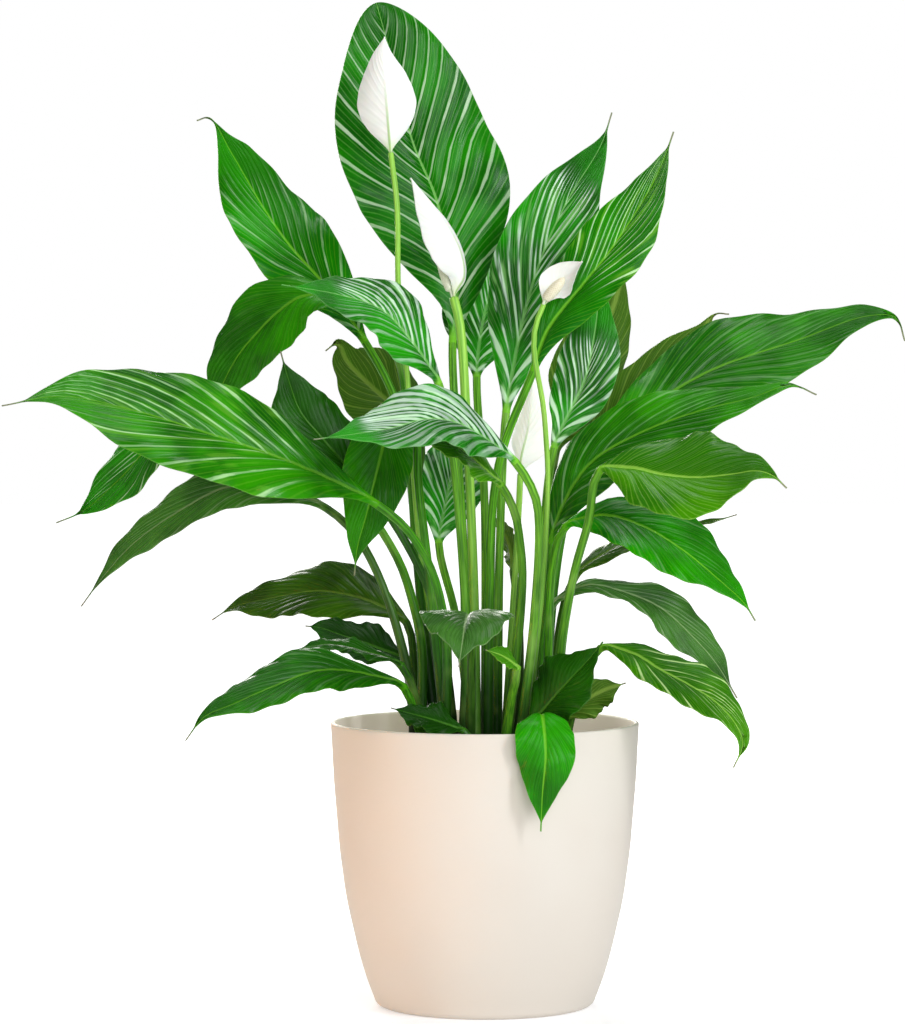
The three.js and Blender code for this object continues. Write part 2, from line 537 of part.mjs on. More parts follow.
// Outside of the pot, from the foot's flat to just under the lip.
function potOutline() {
  const points = [new THREE.Vector2(0, 0)];
  const arc = new THREE.EllipseCurve(
    POT_FOOT_RADIUS - FOOT_ROUND, FOOT_ROUND, FOOT_ROUND, FOOT_ROUND,
    -Math.PI / 2, FOOT_ARC_END);
  points.push(...arc.getPoints(3));
  for (const [radius, height] of POT_BOW) {
    points.push(new THREE.Vector2(radius * POT_RIM_RADIUS, height * POT_HEIGHT));
  }
  return points;
}

// The inner wall's radius at a height: the outside's, less the wall.
function innerRadius(height) {
  const bow = [[POT_FOOT_RADIUS / POT_RIM_RADIUS, INNER_BOW_START], ...POT_BOW, [1, 1]];
  const share = height / POT_HEIGHT;
  const k = Math.max(1, bow.findIndex(([, h]) => h >= share));
  const [r0, h0] = bow[k - 1];
  const [r1, h1] = bow[k];
  return mix(r0, r1, (share - h0) / (h1 - h0)) * POT_RIM_RADIUS - POT_WALL;
}

function potSolid() {
  const lip = new THREE.EllipseCurve(
    POT_RIM_RADIUS - POT_WALL / 2, POT_HEIGHT - POT_WALL / 2, POT_WALL / 2, POT_WALL / 2,
    0, Math.PI);
  const inside = [...WALL_HEIGHTS.toReversed(), POT_FLOOR]
    .map((z) => new THREE.Vector2(innerRadius(z), z));
  const outline = [
    ...potOutline(), ...lip.getPoints(3), ...inside, new THREE.Vector2(0, POT_FLOOR)];
  return lathe(outline);
}

// Turns an outline that starts and ends on the axis into a closed solid.
function lathe(outline) {
  const turned = new THREE.LatheGeometry(outline, POT_SIDES);
  turned.rotateX(Math.PI / 2);
  return tidy(turned);
}

// Merges the seam and the axis points and drops the slivers that this leaves.
function tidy(geometry) {
  geometry.deleteAttribute("normal");
  geometry.deleteAttribute("uv");
  const merged = mergeVertices(geometry, 1e-3);
  const index = merged.getIndex().array;
  const kept = [];
  for (let i = 0; i < index.length; i += 3) {
    const [a, b, c] = index.slice(i, i + 3);
    if (a !== b && b !== c && a !== c) kept.push(a, b, c);
  }
  merged.setIndex(kept);
  return merged;
}

function toManifold(geometry) {
  return new wasm.Manifold(new wasm.Mesh({
    numProp: 3,
    vertProperties: new Float32Array(geometry.getAttribute("position").array),
    triVerts: new Uint32Array(geometry.getIndex().array),
  }));
}

function fromManifold(solid) {
  const mesh = solid.getMesh();
  const geometry = new THREE.BufferGeometry();
  geometry.setAttribute("position", new THREE.BufferAttribute(mesh.vertProperties, 3));
  geometry.setIndex(new THREE.BufferAttribute(mesh.triVerts, 1));
  return geometry;
}

// A plain upright hole for a stem of the given radius.
function stemHole([x, y], radius) {
  const across = (radius + GAP) / Math.cos(Math.PI / HOLE_SIDES);
  const depth = ROOT_DEPTH + GAP + HOLE_OVERSHOOT;
  const hole = new THREE.CylinderGeometry(across, across, depth, HOLE_SIDES);
  hole.rotateX(Math.PI / 2);
  hole.translate(x, y, ROOT_Z - GAP + depth / 2);
  return toManifold(tidy(hole));
}

function soilSolid() {
  const heights = [SOIL_BOTTOM, ...WALL_HEIGHTS, SOIL_TOP];
  const side = heights.map((z) => new THREE.Vector2(innerRadius(z) - SOIL_CLEARANCE, z));
  const outline = [
    new THREE.Vector2(0, SOIL_BOTTOM), ...side, new THREE.Vector2(0, SOIL_TOP)];
  let soil = toManifold(lathe(outline));
  for (const leaf of LEAVES) soil = soil.subtract(stemHole(leaf.root, SHEATH_RADIUS));
  for (const bloom of BLOOMS) {
    soil = soil.subtract(stemHole(bloom.root, bloom.radius + BLOOM_SWELL));
  }
  return fromManifold(soil);
}

// ---- the whole plant ----

function piece(name, geometry, look) {
  geometry.computeVertexNormals();
  const mesh = new THREE.Mesh(geometry, new THREE.MeshStandardMaterial(look));
  mesh.name = name;
  return mesh;
}

const plant = new THREE.Group();
plant.add(piece("pot", potSolid(), POT_CREAM));
plant.add(piece("soil", soilSolid(), SOIL_BROWN));
for (const leaf of LEAVES) plant.add(piece(leaf.name, leafSolid(leaf), LEAF_GREEN));
for (const bloom of BLOOMS) {
  plant.add(piece(`${bloom.name}_stalk`, bloomStalk(bloom), STALK_GREEN));
  plant.add(piece(`${bloom.name}_spathe`, spatheSolid(bloom), SPATHE_WHITE));
  plant.add(piece(`${bloom.name}_spadix`, spadixSolid(bloom), SPADIX_CREAM));
}

export default plant;
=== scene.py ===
# %% [markdown]
# A potted peace lily: long glossy leaves and four white blooms growing out of one clump, in a
# plain cream pot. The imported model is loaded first. Everything made below lies in its frame, in
# metres with Z up and the viewer at -Y, and stands for one of its solids.

# %% Load the frame
import math

import bpy
import numpy as np
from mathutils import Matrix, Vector, noise


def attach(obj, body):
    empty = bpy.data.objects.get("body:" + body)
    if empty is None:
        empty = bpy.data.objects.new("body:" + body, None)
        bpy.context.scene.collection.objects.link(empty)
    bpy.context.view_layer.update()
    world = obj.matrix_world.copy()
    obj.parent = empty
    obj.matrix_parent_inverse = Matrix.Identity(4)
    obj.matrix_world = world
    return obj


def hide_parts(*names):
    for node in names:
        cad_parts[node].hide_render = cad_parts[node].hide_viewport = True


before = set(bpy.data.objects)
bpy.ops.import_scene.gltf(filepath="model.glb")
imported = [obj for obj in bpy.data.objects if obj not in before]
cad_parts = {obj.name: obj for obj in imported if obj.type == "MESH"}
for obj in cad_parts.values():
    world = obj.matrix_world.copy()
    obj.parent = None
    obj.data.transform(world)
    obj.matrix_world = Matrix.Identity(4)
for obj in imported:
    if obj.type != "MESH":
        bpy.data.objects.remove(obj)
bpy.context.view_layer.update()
MM = 0.001
rng = np.random.default_rng(7)

# %% [markdown]
# The camera stands level with the middle of the leaves and far away, so the pot's rim is seen
# as a thin ellipse and the leaves keep their proportions. A long lens does that.

# %% Camera
EYE = (-21, -2580, 395)
AIM = (-21, 0, 320)
camera_data = bpy.data.cameras.new("camera")
camera_data.lens = 140
camera = bpy.data.objects.new("camera", camera_data)
camera.location = Vector(EYE) * MM
camera.rotation_euler = (Vector(AIM) - Vector(EYE)).to_track_quat("-Z", "Y").to_euler()
bpy.context.scene.collection.objects.link(camera)
bpy.context.scene.camera = camera

# %% [markdown]
# Colours are given as sRGB hex values, as a colour picker shows them, and one function turns
# them to the linear values that shaders use. A pattern's scale comes from the real size of its
# spots in millimetres. One more function adds a node with its settings and links.

# %% Colour and node helpers
def linear(hex_colour):
    srgb = [int(hex_colour[i:i + 2], 16) / 255 for i in (1, 3, 5)]
    return [c / 12.92 if c <= 0.04045 else ((c + 0.055) / 1.055) ** 2.4 for c in srgb]


def rgba(hex_colour):
    return [*linear(hex_colour), 1.0]


def spots_of(millimetres):
    """The scale at which a noise texture's spots are that wide."""
    return 1 / (millimetres * MM)


def new_material(name):
    material = bpy.data.materials.new(name)
    material.use_nodes = True
    return material, material.node_tree


def fill(tree, node, inputs):
    """Give a node's inputs a number, a hex colour or another node's output."""
    for key, value in inputs.items():
        if isinstance(value, bpy.types.NodeSocket):
            tree.links.new(value, node.inputs[key])
        else:
            node.inputs[key].default_value = rgba(value) if isinstance(value, str) else value


def add(tree, kind, inputs=(), out=0, **settings):
    """Add a node and give back one output. Its inputs stand in its own order, or are named."""
    node = tree.nodes.new("ShaderNode" + kind)
    for key, value in settings.items():
        setattr(node, key, value)
    fill(tree, node, inputs if isinstance(inputs, dict) else dict(enumerate(inputs)))
    return node.outputs[out]


# %% [markdown]
# The floor is a wide round sheet of matt white paper, lit up more toward its edge, as a photo
# studio does to lose the horizon. It is stage, not part of the plant.

# %% Floor
FLOOR_RADIUS = 12.0
FLOOR_SIDES = 96
GLOW_FROM, GLOW_TO = 0.3, 1.8  # metres from the middle, where the extra light starts and is full


def floor_material():
    material, tree = new_material("matt_white_paper")
    place = add(tree, "TexCoord", out="Object")
    distance = add(tree, "VectorMath", [place], "Value", operation="LENGTH")
    edge_glow = add(tree, "MapRange", [distance, GLOW_FROM, GLOW_TO, 0.4, 1.1])
    seen = add(tree, "LightPath", out="Is Camera Ray")
    glow = add(tree, "MapRange", {"Value": seen, "To Min": 0.25, "To Max": edge_glow})
    fill(tree, tree.nodes["Principled BSDF"], {
        "Base Color": "#E4E4E6", "Roughness": 0.9, "Emission Color": "#FFFFFF",
        "Emission Strength": glow})
    return material


turns = [2 * math.pi * k / FLOOR_SIDES for k in range(FLOOR_SIDES)]
mesh = bpy.data.meshes.new("studio_floor")
mesh.from_pydata([(FLOOR_RADIUS * math.cos(t), FLOOR_RADIUS * math.sin(t), 0) for t in turns],
                 [], [range(FLOOR_SIDES)])
mesh.materials.append(floor_material())
floor = bpy.data.objects.new("studio_floor", mesh)
bpy.context.scene.collection.objects.link(floor)
print("floor radius:", FLOOR_RADIUS, "m")

# %% [markdown]
# Soft light: a large panel high on the right, which gives the leaves their long white glints, a
# broad one beside the camera, weak ones on the left, above and behind, and a narrow warm beam
# low on the left that leaves the pot's left side peach. The world is white for the eye and
# dimmer as light, so that the greens stay deep.

# %% Lights and world
def panel(name, place, target, size, power, colour="#FFFFFF", spread=180):
    data = bpy.data.lights.new(name, "AREA")
    data.spread = math.radians(spread)
    data.shape = "RECTANGLE"
    data.size, data.size_y = size
    data.energy = power
    data.color = linear(colour)
    light = bpy.data.objects.new(name, data)
    light.location = place
    light.rotation_euler = (Vector(target) - Vector(place)).to_track_quat("-Z", "Y").to_euler()
    bpy.context.scene.collection.objects.link(light)


PLANT_MIDDLE = (0, 0, 0.33)
POT_MIDDLE = (0, 0, 0.07)
panel("key_right", (1.4, -1.5, 1.2), PLANT_MIDDLE, (0.4, 1.2), 25, "#F8FAFF")
panel("front", (0.5, -2.3, 0.9), PLANT_MIDDLE, (1.2, 0.9), 21, "#FDFDFF")
panel("fill_left", (-1.6, -1.0, 0.6), PLANT_MIDDLE, (0.5, 1.2), 5, "#FFEACF")
panel("pot_left", (-1.65, -0.5, 0.05), POT_MIDDLE, (0.4, 0.3), 0.17, "#FFA64A", 18)
panel("top", (0.1, 0.1, 1.9), PLANT_MIDDLE, (1.2, 0.4), 11)
panel("back", (-0.5, 1.9, 0.9), PLANT_MIDDLE, (1.4, 0.8), 34, "#FFFDF8")

world = bpy.data.worlds.new("studio")
world.use_nodes = True
bpy.context.scene.world = world
seen = add(world.node_tree, "LightPath", out="Is Camera Ray")
strength = add(world.node_tree, "MapRange", {"Value": seen, "To Min": 0.2, "To Max": 1.0})
fill(world.node_tree, world.node_tree.nodes["Background"], {
    "Color": "#FFFFFF", "Strength": strength})
bpy.context.scene.view_settings.view_transform = "Standard"
print("lights:", [thing.name for thing in bpy.data.lights])

# %% [markdown]
# A leaf is a midrib curve with a blade across it. The curve runs through a few given points.
# Here it passes through all of them and is measured by its length, so that a share of 0.5 is
# halfway along. Near points turn it gently, because each stretch of the curve is timed by the
# square root of its length (a centripetal Catmull-Rom curve).

# %% Curves through points
CURVE_STEPS = 60


class Spine:
    def __init__(self, points):
        p = np.array(points, float)
        self.points = np.vstack([2 * p[0] - p[1], p, 2 * p[-1] - p[-2]])
        self.spans = len(p) - 1
        samples = self.curve(np.linspace(0, 1, CURVE_STEPS * self.spans + 1))[0]
        steps = np.linalg.norm(np.diff(samples, axis=0), axis=1)
        self.lengths = np.concatenate([[0], np.cumsum(steps)])
        self.length = self.lengths[-1]

    def curve(self, t):
        """Points and directions at t, which counts the given points and not length."""
        at = np.clip(t, 0, 1) * self.spans
        span = np.minimum(at.astype(int), self.spans - 1)
        w = (at - span)[:, None]
        p0, p1, p2, p3 = (self.points[span + k] for k in range(4))
        d0, d1, d2 = (np.linalg.norm(b - a, axis=1, keepdims=True) ** 0.5
                      for a, b in ((p0, p1), (p1, p2), (p2, p3)))
        m1 = ((p1 - p0) / d0 - (p2 - p0) / (d0 + d1) + (p2 - p1) / d1) * d1
        m2 = ((p2 - p1) / d1 - (p3 - p1) / (d1 + d2) + (p3 - p2) / d2) * d1
        c2 = 3 * (p2 - p1) - 2 * m1 - m2
        c3 = 2 * (p1 - p2) + m1 + m2
        place = p1 + m1 * w + c2 * w ** 2 + c3 * w ** 3
        direction = m1 + 2 * c2 * w + 3 * c3 * w ** 2
        return place, direction / np.linalg.norm(direction, axis=1, keepdims=True)

    def at(self, share):
        t = np.interp(np.asarray(share) * self.length, self.lengths,
                      np.linspace(0, 1, len(self.lengths)))
        return self.curve(np.atleast_1d(t))

    def share_at_point(self, index):
        return self.lengths[index * CURVE_STEPS] / self.length


def square_to(direction, tangent):
    """The part of each direction that is square to the curve."""
    flat = direction - tangent * np.sum(direction * tangent, axis=-1, keepdims=True)
    return flat / np.linalg.norm(flat, axis=-1, keepdims=True)


# %% [markdown]
# Where every leaf and bloom grows, in millimetres. The root is where the stalk leaves the soil,
# the stalk and blade points lead up to the tip, and the lean says how far back or forward the
# tip goes along the line of sight. The face is where the upper side looks.

# %% The clump
LEAVES = [
  dict(name="leaf_top", root=(-10, 22), stalk=[(-12, 28, 230), (-14, 36, 300), (-19, 42, 380)],
    blade=[(-21, 44, 430), (-18, 48, 459), (-23, 50, 488), (-32, 52, 526), (-47, 52, 562),
      (-61, 48, 617), (-71, 40, 653)],
    width=106, lean=40, wide=0.5, base_draw=1.4, tip_draw=0.55, tail=0, face=(0.15, -1, 0.3),
    wave=3, veins=14, sweep=1.3, ragged=0.006, ripple=0.3),
  dict(name="leaf_left_upper", root=(-35, 25), stalk=[(-43, 28, 280), (-57, 30, 388)],
    blade=[(-78, 28, 430), (-104, 30, 467), (-127, 34, 493), (-144, 40, 517), (-167, 46, 556),
      (-181, 46, 578), (-189, 42, 576)],
    width=63, lean=100, wide=0.48, base_draw=0.85, tip_draw=1.3, face=(0.35, -0.9, 0.4),
    wave=4),
  dict(name="leaf_left_inner", root=(-14, -14),
    stalk=[(-12, -13, 240), (-17, -13, 320), (-22, -14, 365)],
    blade=[(-30, -18, 403), (-47, -26, 430), (-67, -32, 451), (-94, -36, 460), (-117, -38, 464),
      (-130, -38, 466)],
    width=52, lean=-10, face=(0.6, -0.7, 0.4), face_tip=(0, -0.6, 0.8), veins=19),
  dict(name="leaf_left_drooping", root=(-31, 10),
    stalk=[(-37, 14, 220), (-45, 17, 300), (-49, 15, 360), (-55, 10, 415), (-69, 0, 443)],
    blade=[(-88, -6, 452), (-103, -8, 460), (-119, -9, 459), (-134, -10, 449), (-147, -11, 436),
      (-160, -12, 420), (-172, -12, 396), (-178, -12, 374)],
    width=56, lean=40, wide=0.45, face=(0.2, -0.7, 0.7), face_tip=(-0.5, -0.75, 0.4)),
  dict(name="leaf_left_long", root=(-26, -30),
    stalk=[(-25, -34, 240), (-34, -38, 283), (-50, -42, 310)],
    blade=[(-69, -46, 326), (-90, -49, 338), (-128, -53, 355), (-174, -57, 371),
      (-222, -60, 386), (-268, -62, 395), (-306, -61, 389)],
    width=82, lean=-90, wide=0.5, face=(0, -0.75, 0.65), wave=3),
  dict(name="leaf_left_far", root=(-42, 8),
    stalk=[(-41, 7, 232), (-47, 7, 262), (-57, 9, 290), (-84, 14, 330)],
    blade=[(-118, 24, 362), (-145, 32, 374), (-176, 42, 380), (-212, 52, 370), (-241, 60, 341),
      (-266, 64, 319), (-284, 62, 311)],
    width=44, lean=50, wide=0.6, tip_draw=0.7, tail=0.08, face=(-0.2, -0.7, 0.7),
    face_tip=(-0.5, -0.75, 0.4)),
  dict(name="leaf_left_hanging", root=(-46, -4),
    stalk=[(-47, -4, 200), (-58, -2, 248), (-71, 2, 283), (-84, 6, 305)],
    blade=[(-103, 12, 322), (-132, 18, 333), (-166, 24, 336), (-200, 28, 320), (-232, 32, 297),
      (-254, 34, 272), (-265, 34, 257)],
    width=37, lean=-10, face=(0, -0.75, 0.65), face_tip=(-0.5, -0.7, 0.5)),
  dict(name="leaf_left_olive", root=(-44, 30), stalk=[(-46, 30, 210)],
    blade=[(-51, 30, 246), (-72, 33, 259), (-92, 35, 265), (-112, 37, 267), (-142, 38, 262),
      (-166, 38, 256), (-179, 36, 248)],
    width=54, lean=90, face=(0.1, -0.7, 0.7)),
  dict(name="leaf_left_dark", root=(-44, 16), stalk=[(-46, 15, 195)],
    blade=[(-52, 15, 222), (-70, 16, 231), (-93, 18, 239), (-108, 18, 244), (-117, 18, 245)],
    width=34, lean=20, face=(0, -0.65, 0.75), tip_draw=0.7),
  dict(name="leaf_left_narrow", root=(-34, -12), stalk=[(-42, -14, 192)],
    blade=[(-54, -13, 221), (-80, -11, 231), (-101, -10, 235), (-124, -10, 231)],
    width=24, lean=-40, face=(0, -0.35, 0.95)),
  dict(name="leaf_left_low", root=(-38, -24), stalk=[(-44, -28, 185)],
    blade=[(-52, -30, 208), (-75, -36, 217), (-106, -42, 220), (-138, -46, 209),
      (-161, -50, 199), (-179, -52, 191), (-191, -52, 176)],
    width=42, lean=-80, face=(0, -0.6, 0.8), face_tip=(-0.3, -0.7, 0.6)),
  dict(name="leaf_left_rim", root=(-4, -48), stalk=[(-7, -51, 173)],
    blade=[(-14, -54, 182), (-30, -60, 189), (-46, -64, 194), (-60, -66, 198)],
    width=34, lean=20, face=(0.2, -0.5, 0.85)),
  dict(name="leaf_middle_arching", root=(22, -36),
    stalk=[(31, -40, 250), (34, -44, 316), (31, -46, 333)],
    blade=[(19, -48, 353), (2, -54, 367), (-17, -61, 378), (-36, -68, 381), (-60, -76, 375),
      (-85, -82, 371), (-108, -85, 368)],
    width=60, lean=-60, wide=0.38, face=(0.45, -0.55, 0.7), face_tip=(-0.1, -0.6, 0.8), veins=21),
  dict(name="leaf_middle_under", root=(14, -20),
    stalk=[(24, -22, 277), (22, -24, 304), (19, -26, 320)],
    blade=[(10, -30, 338), (-4, -34, 352), (-20, -38, 364), (-36, -40, 369), (-52, -42, 370)],
    width=38, lean=-50, face=(0.45, -0.55, 0.7), face_tip=(-0.1, -0.6, 0.8)),
  dict(name="leaf_left_peaked", root=(-20, -1), stalk=[(-33, -7, 260)],
    blade=[(-60, -8, 315), (-81, -8, 340), (-105, -8, 368), (-119, -8, 385), (-126, -8, 403),
      (-132, -8, 424)],
    width=46, lean=-10, wide=0.6, face=(0.3, -0.9, 0.3)),
  dict(name="leaf_back_left", root=(-27, 41),
    stalk=[(-36, 42, 230), (-43, 45, 300), (-44, 47, 340)],
    blade=[(-42, 48, 366), (-57, 50, 386), (-74, 54, 401), (-91, 56, 418), (-97, 56, 430),
      (-105, 54, 425)],
    width=60, lean=80, face=(0.2, 0.9, 0.35)),
  dict(name="leaf_front_nodding", root=(-10, -38), stalk=[(-9, -40, 215), (-9, -46, 240)],
    blade=[(-10, -58, 254), (-11, -72, 258), (-13, -90, 253), (-15, -104, 241),
      (-17, -112, 227)],
    width=58, lean=-70, wide=0.36, face=(0, 0.6, 0.8), face_tip=(0, -0.9, 0.45)),
  dict(name="leaf_front_small", root=(12, -42), stalk=[(17, -46, 205)],
    blade=[(20, -50, 222), (11, -53, 230), (0, -55, 234)],
    width=16, lean=-20, face=(0.5, -0.6, 0.6), wave=1),
  dict(name="leaf_middle_hanging", root=(-25, -19), stalk=[(-36, -20, 280), (-43, -20, 340)],
    blade=[(-45, -21, 372), (-52, -23, 383), (-62, -25, 372), (-70, -26, 345),
      (-76, -27, 320), (-82, -27, 298), (-84, -26, 280)],
    width=44, lean=-10, face=(0.1, -1, 0.2), face_tip=(-0.3, -0.95, 0.1)),
  dict(name="leaf_back_middle", root=(-8, 44), stalk=[(-19, 52, 250)],
    blade=[(-30, 53, 297), (-26, 56, 322), (-21, 62, 346), (-17, 72, 365), (-13, 84, 379)],
    width=48, lean=90, face=(0.1, -0.8, 0.55), veins=18),
  dict(name="leaf_back_small", root=(22, 34), stalk=[(23, 38, 240)],
    blade=[(19, 40, 280), (16, 40, 298), (9, 40, 310), (-1, 39, 317)],
    width=20, lean=80, face=(0.3, 0.7, 0.6), wave=1),
  dict(name="leaf_right_upper", root=(8, 16), stalk=[(10, 22, 300)],
    blade=[(14, 26, 384), (19, 28, 415), (27, 30, 453), (40, 30, 493), (56, 28, 526),
      (76, 26, 559), (83, 24, 580)],
    width=60, lean=20, wide=0.5, face=(0, -0.95, 0.3), veins=20),
  dict(name="leaf_back_upper", root=(1, 36), stalk=[(0, 50, 330)],
    blade=[(-5, 58, 407), (-2, 64, 438), (5, 70, 470), (10, 74, 495), (14, 78, 515)],
    width=58, lean=80, face=(0, -1, 0.2), veins=19),
  dict(name="leaf_right_inner", root=(2, -6), stalk=[(3, -8, 263), (6, -9, 334), (13, -10, 366)],
    blade=[(31, -10, 411), (40, -10, 437), (63, -8, 467), (80, -6, 488), (107, -2, 530),
      (117, 0, 552), (122, 2, 566)],
    width=48, lean=-20, wide=0.5, face=(-0.2, -0.9, 0.4), veins=18),
  dict(name="leaf_right_streaked", root=(24, 10), stalk=[(36, 8, 280)],
    blade=[(45, 12, 361), (56, 15, 386), (65, 17, 405), (71, 18, 432), (74, 19, 458),
      (73, 20, 479)],
    width=42, lean=30, face=(-0.2, -0.95, 0.2), veins=20),
  dict(name="leaf_back_right", root=(32, 26), stalk=[(42, 34, 280)],
    blade=[(47, 42, 358), (60, 50, 390), (74, 56, 425), (86, 60, 455), (94, 60, 487)],
    width=52, lean=120, face=(0, 0.9, 0.4)),
  dict(name="leaf_right_long", root=(38, 4), stalk=[(45, 6, 270), (55, 9, 325)],
    blade=[(71, 14, 363), (90, 17, 378), (114, 20, 393), (150, 21, 413), (205, 18, 432),
      (248, 12, 447), (267, 10, 446), (273, 10, 431)],
    width=66, lean=80, wide=0.42, face=(-0.3, -0.85, 0.5), face_tip=(0, -0.75, 0.65), wave=3),
  dict(name="leaf_back_right_low", root=(40, 20), stalk=[(46, 22, 290)],
    blade=[(60, 30, 352), (82, 36, 375), (107, 42, 398), (126, 45, 420), (143, 46, 437),
      (152, 45, 449), (161, 44, 449)],
    width=44, lean=120, face=(0, 0.9, 0.3)),
  dict(name="leaf_right_broad", root=(30, -12), stalk=[(38, -12, 240)],
    blade=[(43, -12, 300), (50, -13, 324), (68, -14, 352), (101, -16, 372), (139, -18, 386),
      (171, -20, 394), (197, -20, 402), (213, -20, 396)],
    width=54, lean=-10, wide=0.36, face=(-0.5, -0.75, 0.4), face_tip=(-0.1, -0.7, 0.7)),
  dict(name="leaf_right_lime", root=(46, -32),
    stalk=[(48, -40, 230), (53, -50, 266), (58, -56, 290), (65, -61, 315)],
    blade=[(72, -66, 348), (92, -68, 350), (111, -69, 346), (133, -70, 344), (155, -70, 346),
      (171, -70, 348), (181, -69, 345), (190, -67, 337)],
    width=68, lean=-90, wide=0.46, base_draw=0.85, tip_draw=1.3, face=(0, -0.75, 0.6)),
  dict(name="leaf_right_glossy", root=(40, -21), stalk=[(41, -20, 240), (43, -22, 281)],
    blade=[(51, -32, 311), (75, -38, 319), (101, -41, 312), (126, -43, 297), (149, -44, 278),
      (165, -45, 263), (172, -45, 252)],
    width=56, lean=-60, face=(0.1, -0.65, 0.75)),
  dict(name="leaf_right_behind", root=(48, 10), stalk=[(46, 10, 220)],
    blade=[(58, 10, 276), (80, 10, 294), (104, 10, 304), (132, 10, 310), (150, 10, 314),
      (164, 10, 318)],
    width=34, lean=80, face=(-0.2, -0.3, 0.9)),
  dict(name="leaf_right_twisted", root=(46, -8), stalk=[(41, -6, 220)],
    blade=[(42, -5, 256), (52, -4, 267), (68, -4, 273), (91, -4, 268), (114, -5, 258),
      (133, -6, 241), (149, -8, 223), (163, -10, 200)],
    width=34, lean=20, wide=0.6, face=(0, -0.2, 1), face_tip=(0.3, -0.95, 0.3)),
  dict(name="leaf_right_low", root=(51, -20), stalk=[(60, -22, 205)],
    blade=[(74, -25, 233), (95, -28, 230), (112, -30, 220), (131, -32, 210), (148, -34, 199),
      (161, -34, 184), (165, -34, 172), (159, -34, 157)],
    width=40, lean=-70, face=(0.1, -0.55, 0.8), face_tip=(0.4, -0.7, 0.5)),
  dict(name="leaf_front_dark", root=(24, -48), stalk=[(26, -50, 174)],
    blade=[(29, -55, 186), (42, -61, 203), (54, -66, 217), (66, -68, 230), (74, -68, 240)],
    width=50, lean=0, face=(-0.3, -0.7, 0.6)),
  dict(name="leaf_right_rim", root=(38, -43), stalk=[(42, -46, 176)],
    blade=[(48, -48, 188), (61, -51, 200), (75, -53, 208), (89, -55, 213)],
    width=34, lean=-10, face=(-0.3, 0.8, 0.5)),
  dict(name="leaf_over_rim", root=(34, -54), stalk=[(34, -62, 180)],
    blade=[(34, -74, 191), (35, -88, 196), (36, -101, 189), (37, -107, 172), (35, -108, 148),
      (34, -106, 124)],
    width=38, lean=0, face=(0, 0.2, 1), face_tip=(0, -1, 0.1), fold=0.15),
]

BLOOMS = [
  dict(name="bloom_top", root=(-22, 14), radius=1.8,
    stalk=[(-30, 12, 220), (-42, 10, 298), (-46, 8, 340), (-49, 6, 388), (-52, 5, 426),
      (-56, 5, 463), (-57, 6, 519), (-61, 8, 552)],
    spathe=[(-63, 4, 575), (-65, 4, 600), (-66, 7, 616), (-65, 10, 628)],
    width=38, face=(0, 1, 0.15), spadix=(-64, 16, 592)),
  dict(name="bloom_folded", root=(-6, -8), radius=3,
    stalk=[(-7, -5, 257), (-9, -4, 320), (-12, -4, 380), (-16, -3, 440), (-20, -2, 458)],
    spathe=[(-14, -2, 472), (-16, -2, 488), (-25, -2, 506), (-35, -2, 519), (-48, -2, 536)],
    width=31, droop=-0.8, face=(-0.8, 0.6, -0.3), spadix=(-30, 16, 487), young=True),
  dict(name="bloom_small", root=(28, -27), radius=1.7,
    stalk=[(31, -31, 220), (37, -34, 280), (40, -33, 343), (39, -33, 365), (37, -33, 389),
      (33, -33, 411), (31, -33, 426), (32, -33, 440), (37, -33, 453)],
    spathe=[(42, -27, 460), (50, -26, 470), (57, -29, 477), (62, -33, 481)],
    width=23, face=(-0.2, -1, 0.3), spadix=(50, -42, 470)),
  dict(name="bloom_inner", root=(13, 4), radius=2,
    stalk=[(17, 3, 240), (21, 2, 302), (23, 2, 344)],
    spathe=[(24, -4, 357), (28, -5, 374), (30, -3, 392), (31, 3, 409)],
    width=28, face=(0.5, 0.8, 0.1), spadix=(31, 9, 370), backlit=True),
]

# %% [markdown]
# What the leaves have in common: how wide they are where, how they fold and sag, how thick the
# blade and its rib are. A leaf's own line above overrules it.

# %% Form of a leaf
LEAF_FORM = dict(
    wide=0.42, base_draw=1, tip_draw=1.15, tail=0.05, fold=0.3, droop=0.25, wave=2, waves=2.5,
    neck=2.7, thick=0.5, rib=2.2, veins=15, sweep=2.2, quilt=0.07, groove=0.9, ragged=0.016,
    ripple=0.9)
SPATHE_FORM = dict(
    wide=0.42, base_draw=0.9, tip_draw=1.1, tail=0, fold=0, droop=-0.5, wave=0.6, waves=1.5,
    neck=0.9, thick=0.6, rib=1.2, veins=13, sweep=1.5, quilt=0.02, groove=0, ragged=0.01,
    ripple=0.2)
SOIL_TOP = 168
ROOT_Z = 158
LEAN_POWER = 1.5
SHEATH_RADIUS = 3.7
SHEATH_SHARE = 0.62
TIP_HALF_WIDTH = 0.5
BLEND = 0.09
RIB_SHARE = 0.77
RIB_SPREAD = 0.12
FULL_WAVE_AT = 12
COARSE_UNEVEN, FINE_UNEVEN = 3.3, 7.1  # uneven spots of a margin, along a blade
FINE_SHARE = 0.6  # how deep the fine ones are beside the coarse ones
RIPPLES_PER_WAVE = 3.1
ACROSS = np.array([0, 0.03, 0.07, 0.14, 0.26, 0.4, 0.55, 0.7, 0.84, 0.94, 0.985, 1.0])
COLUMNS = np.concatenate([-ACROSS[:0:-1], ACROSS])
HALF_TURN = math.pi / 2 * (len(COLUMNS) - 1) / len(COLUMNS)
STEPS_PER_VEIN = 6
STEM_RING_STEP = 9


def smooth(t):
    t = np.clip(t, 0, 1)
    return t * t * (3 - 2 * t)


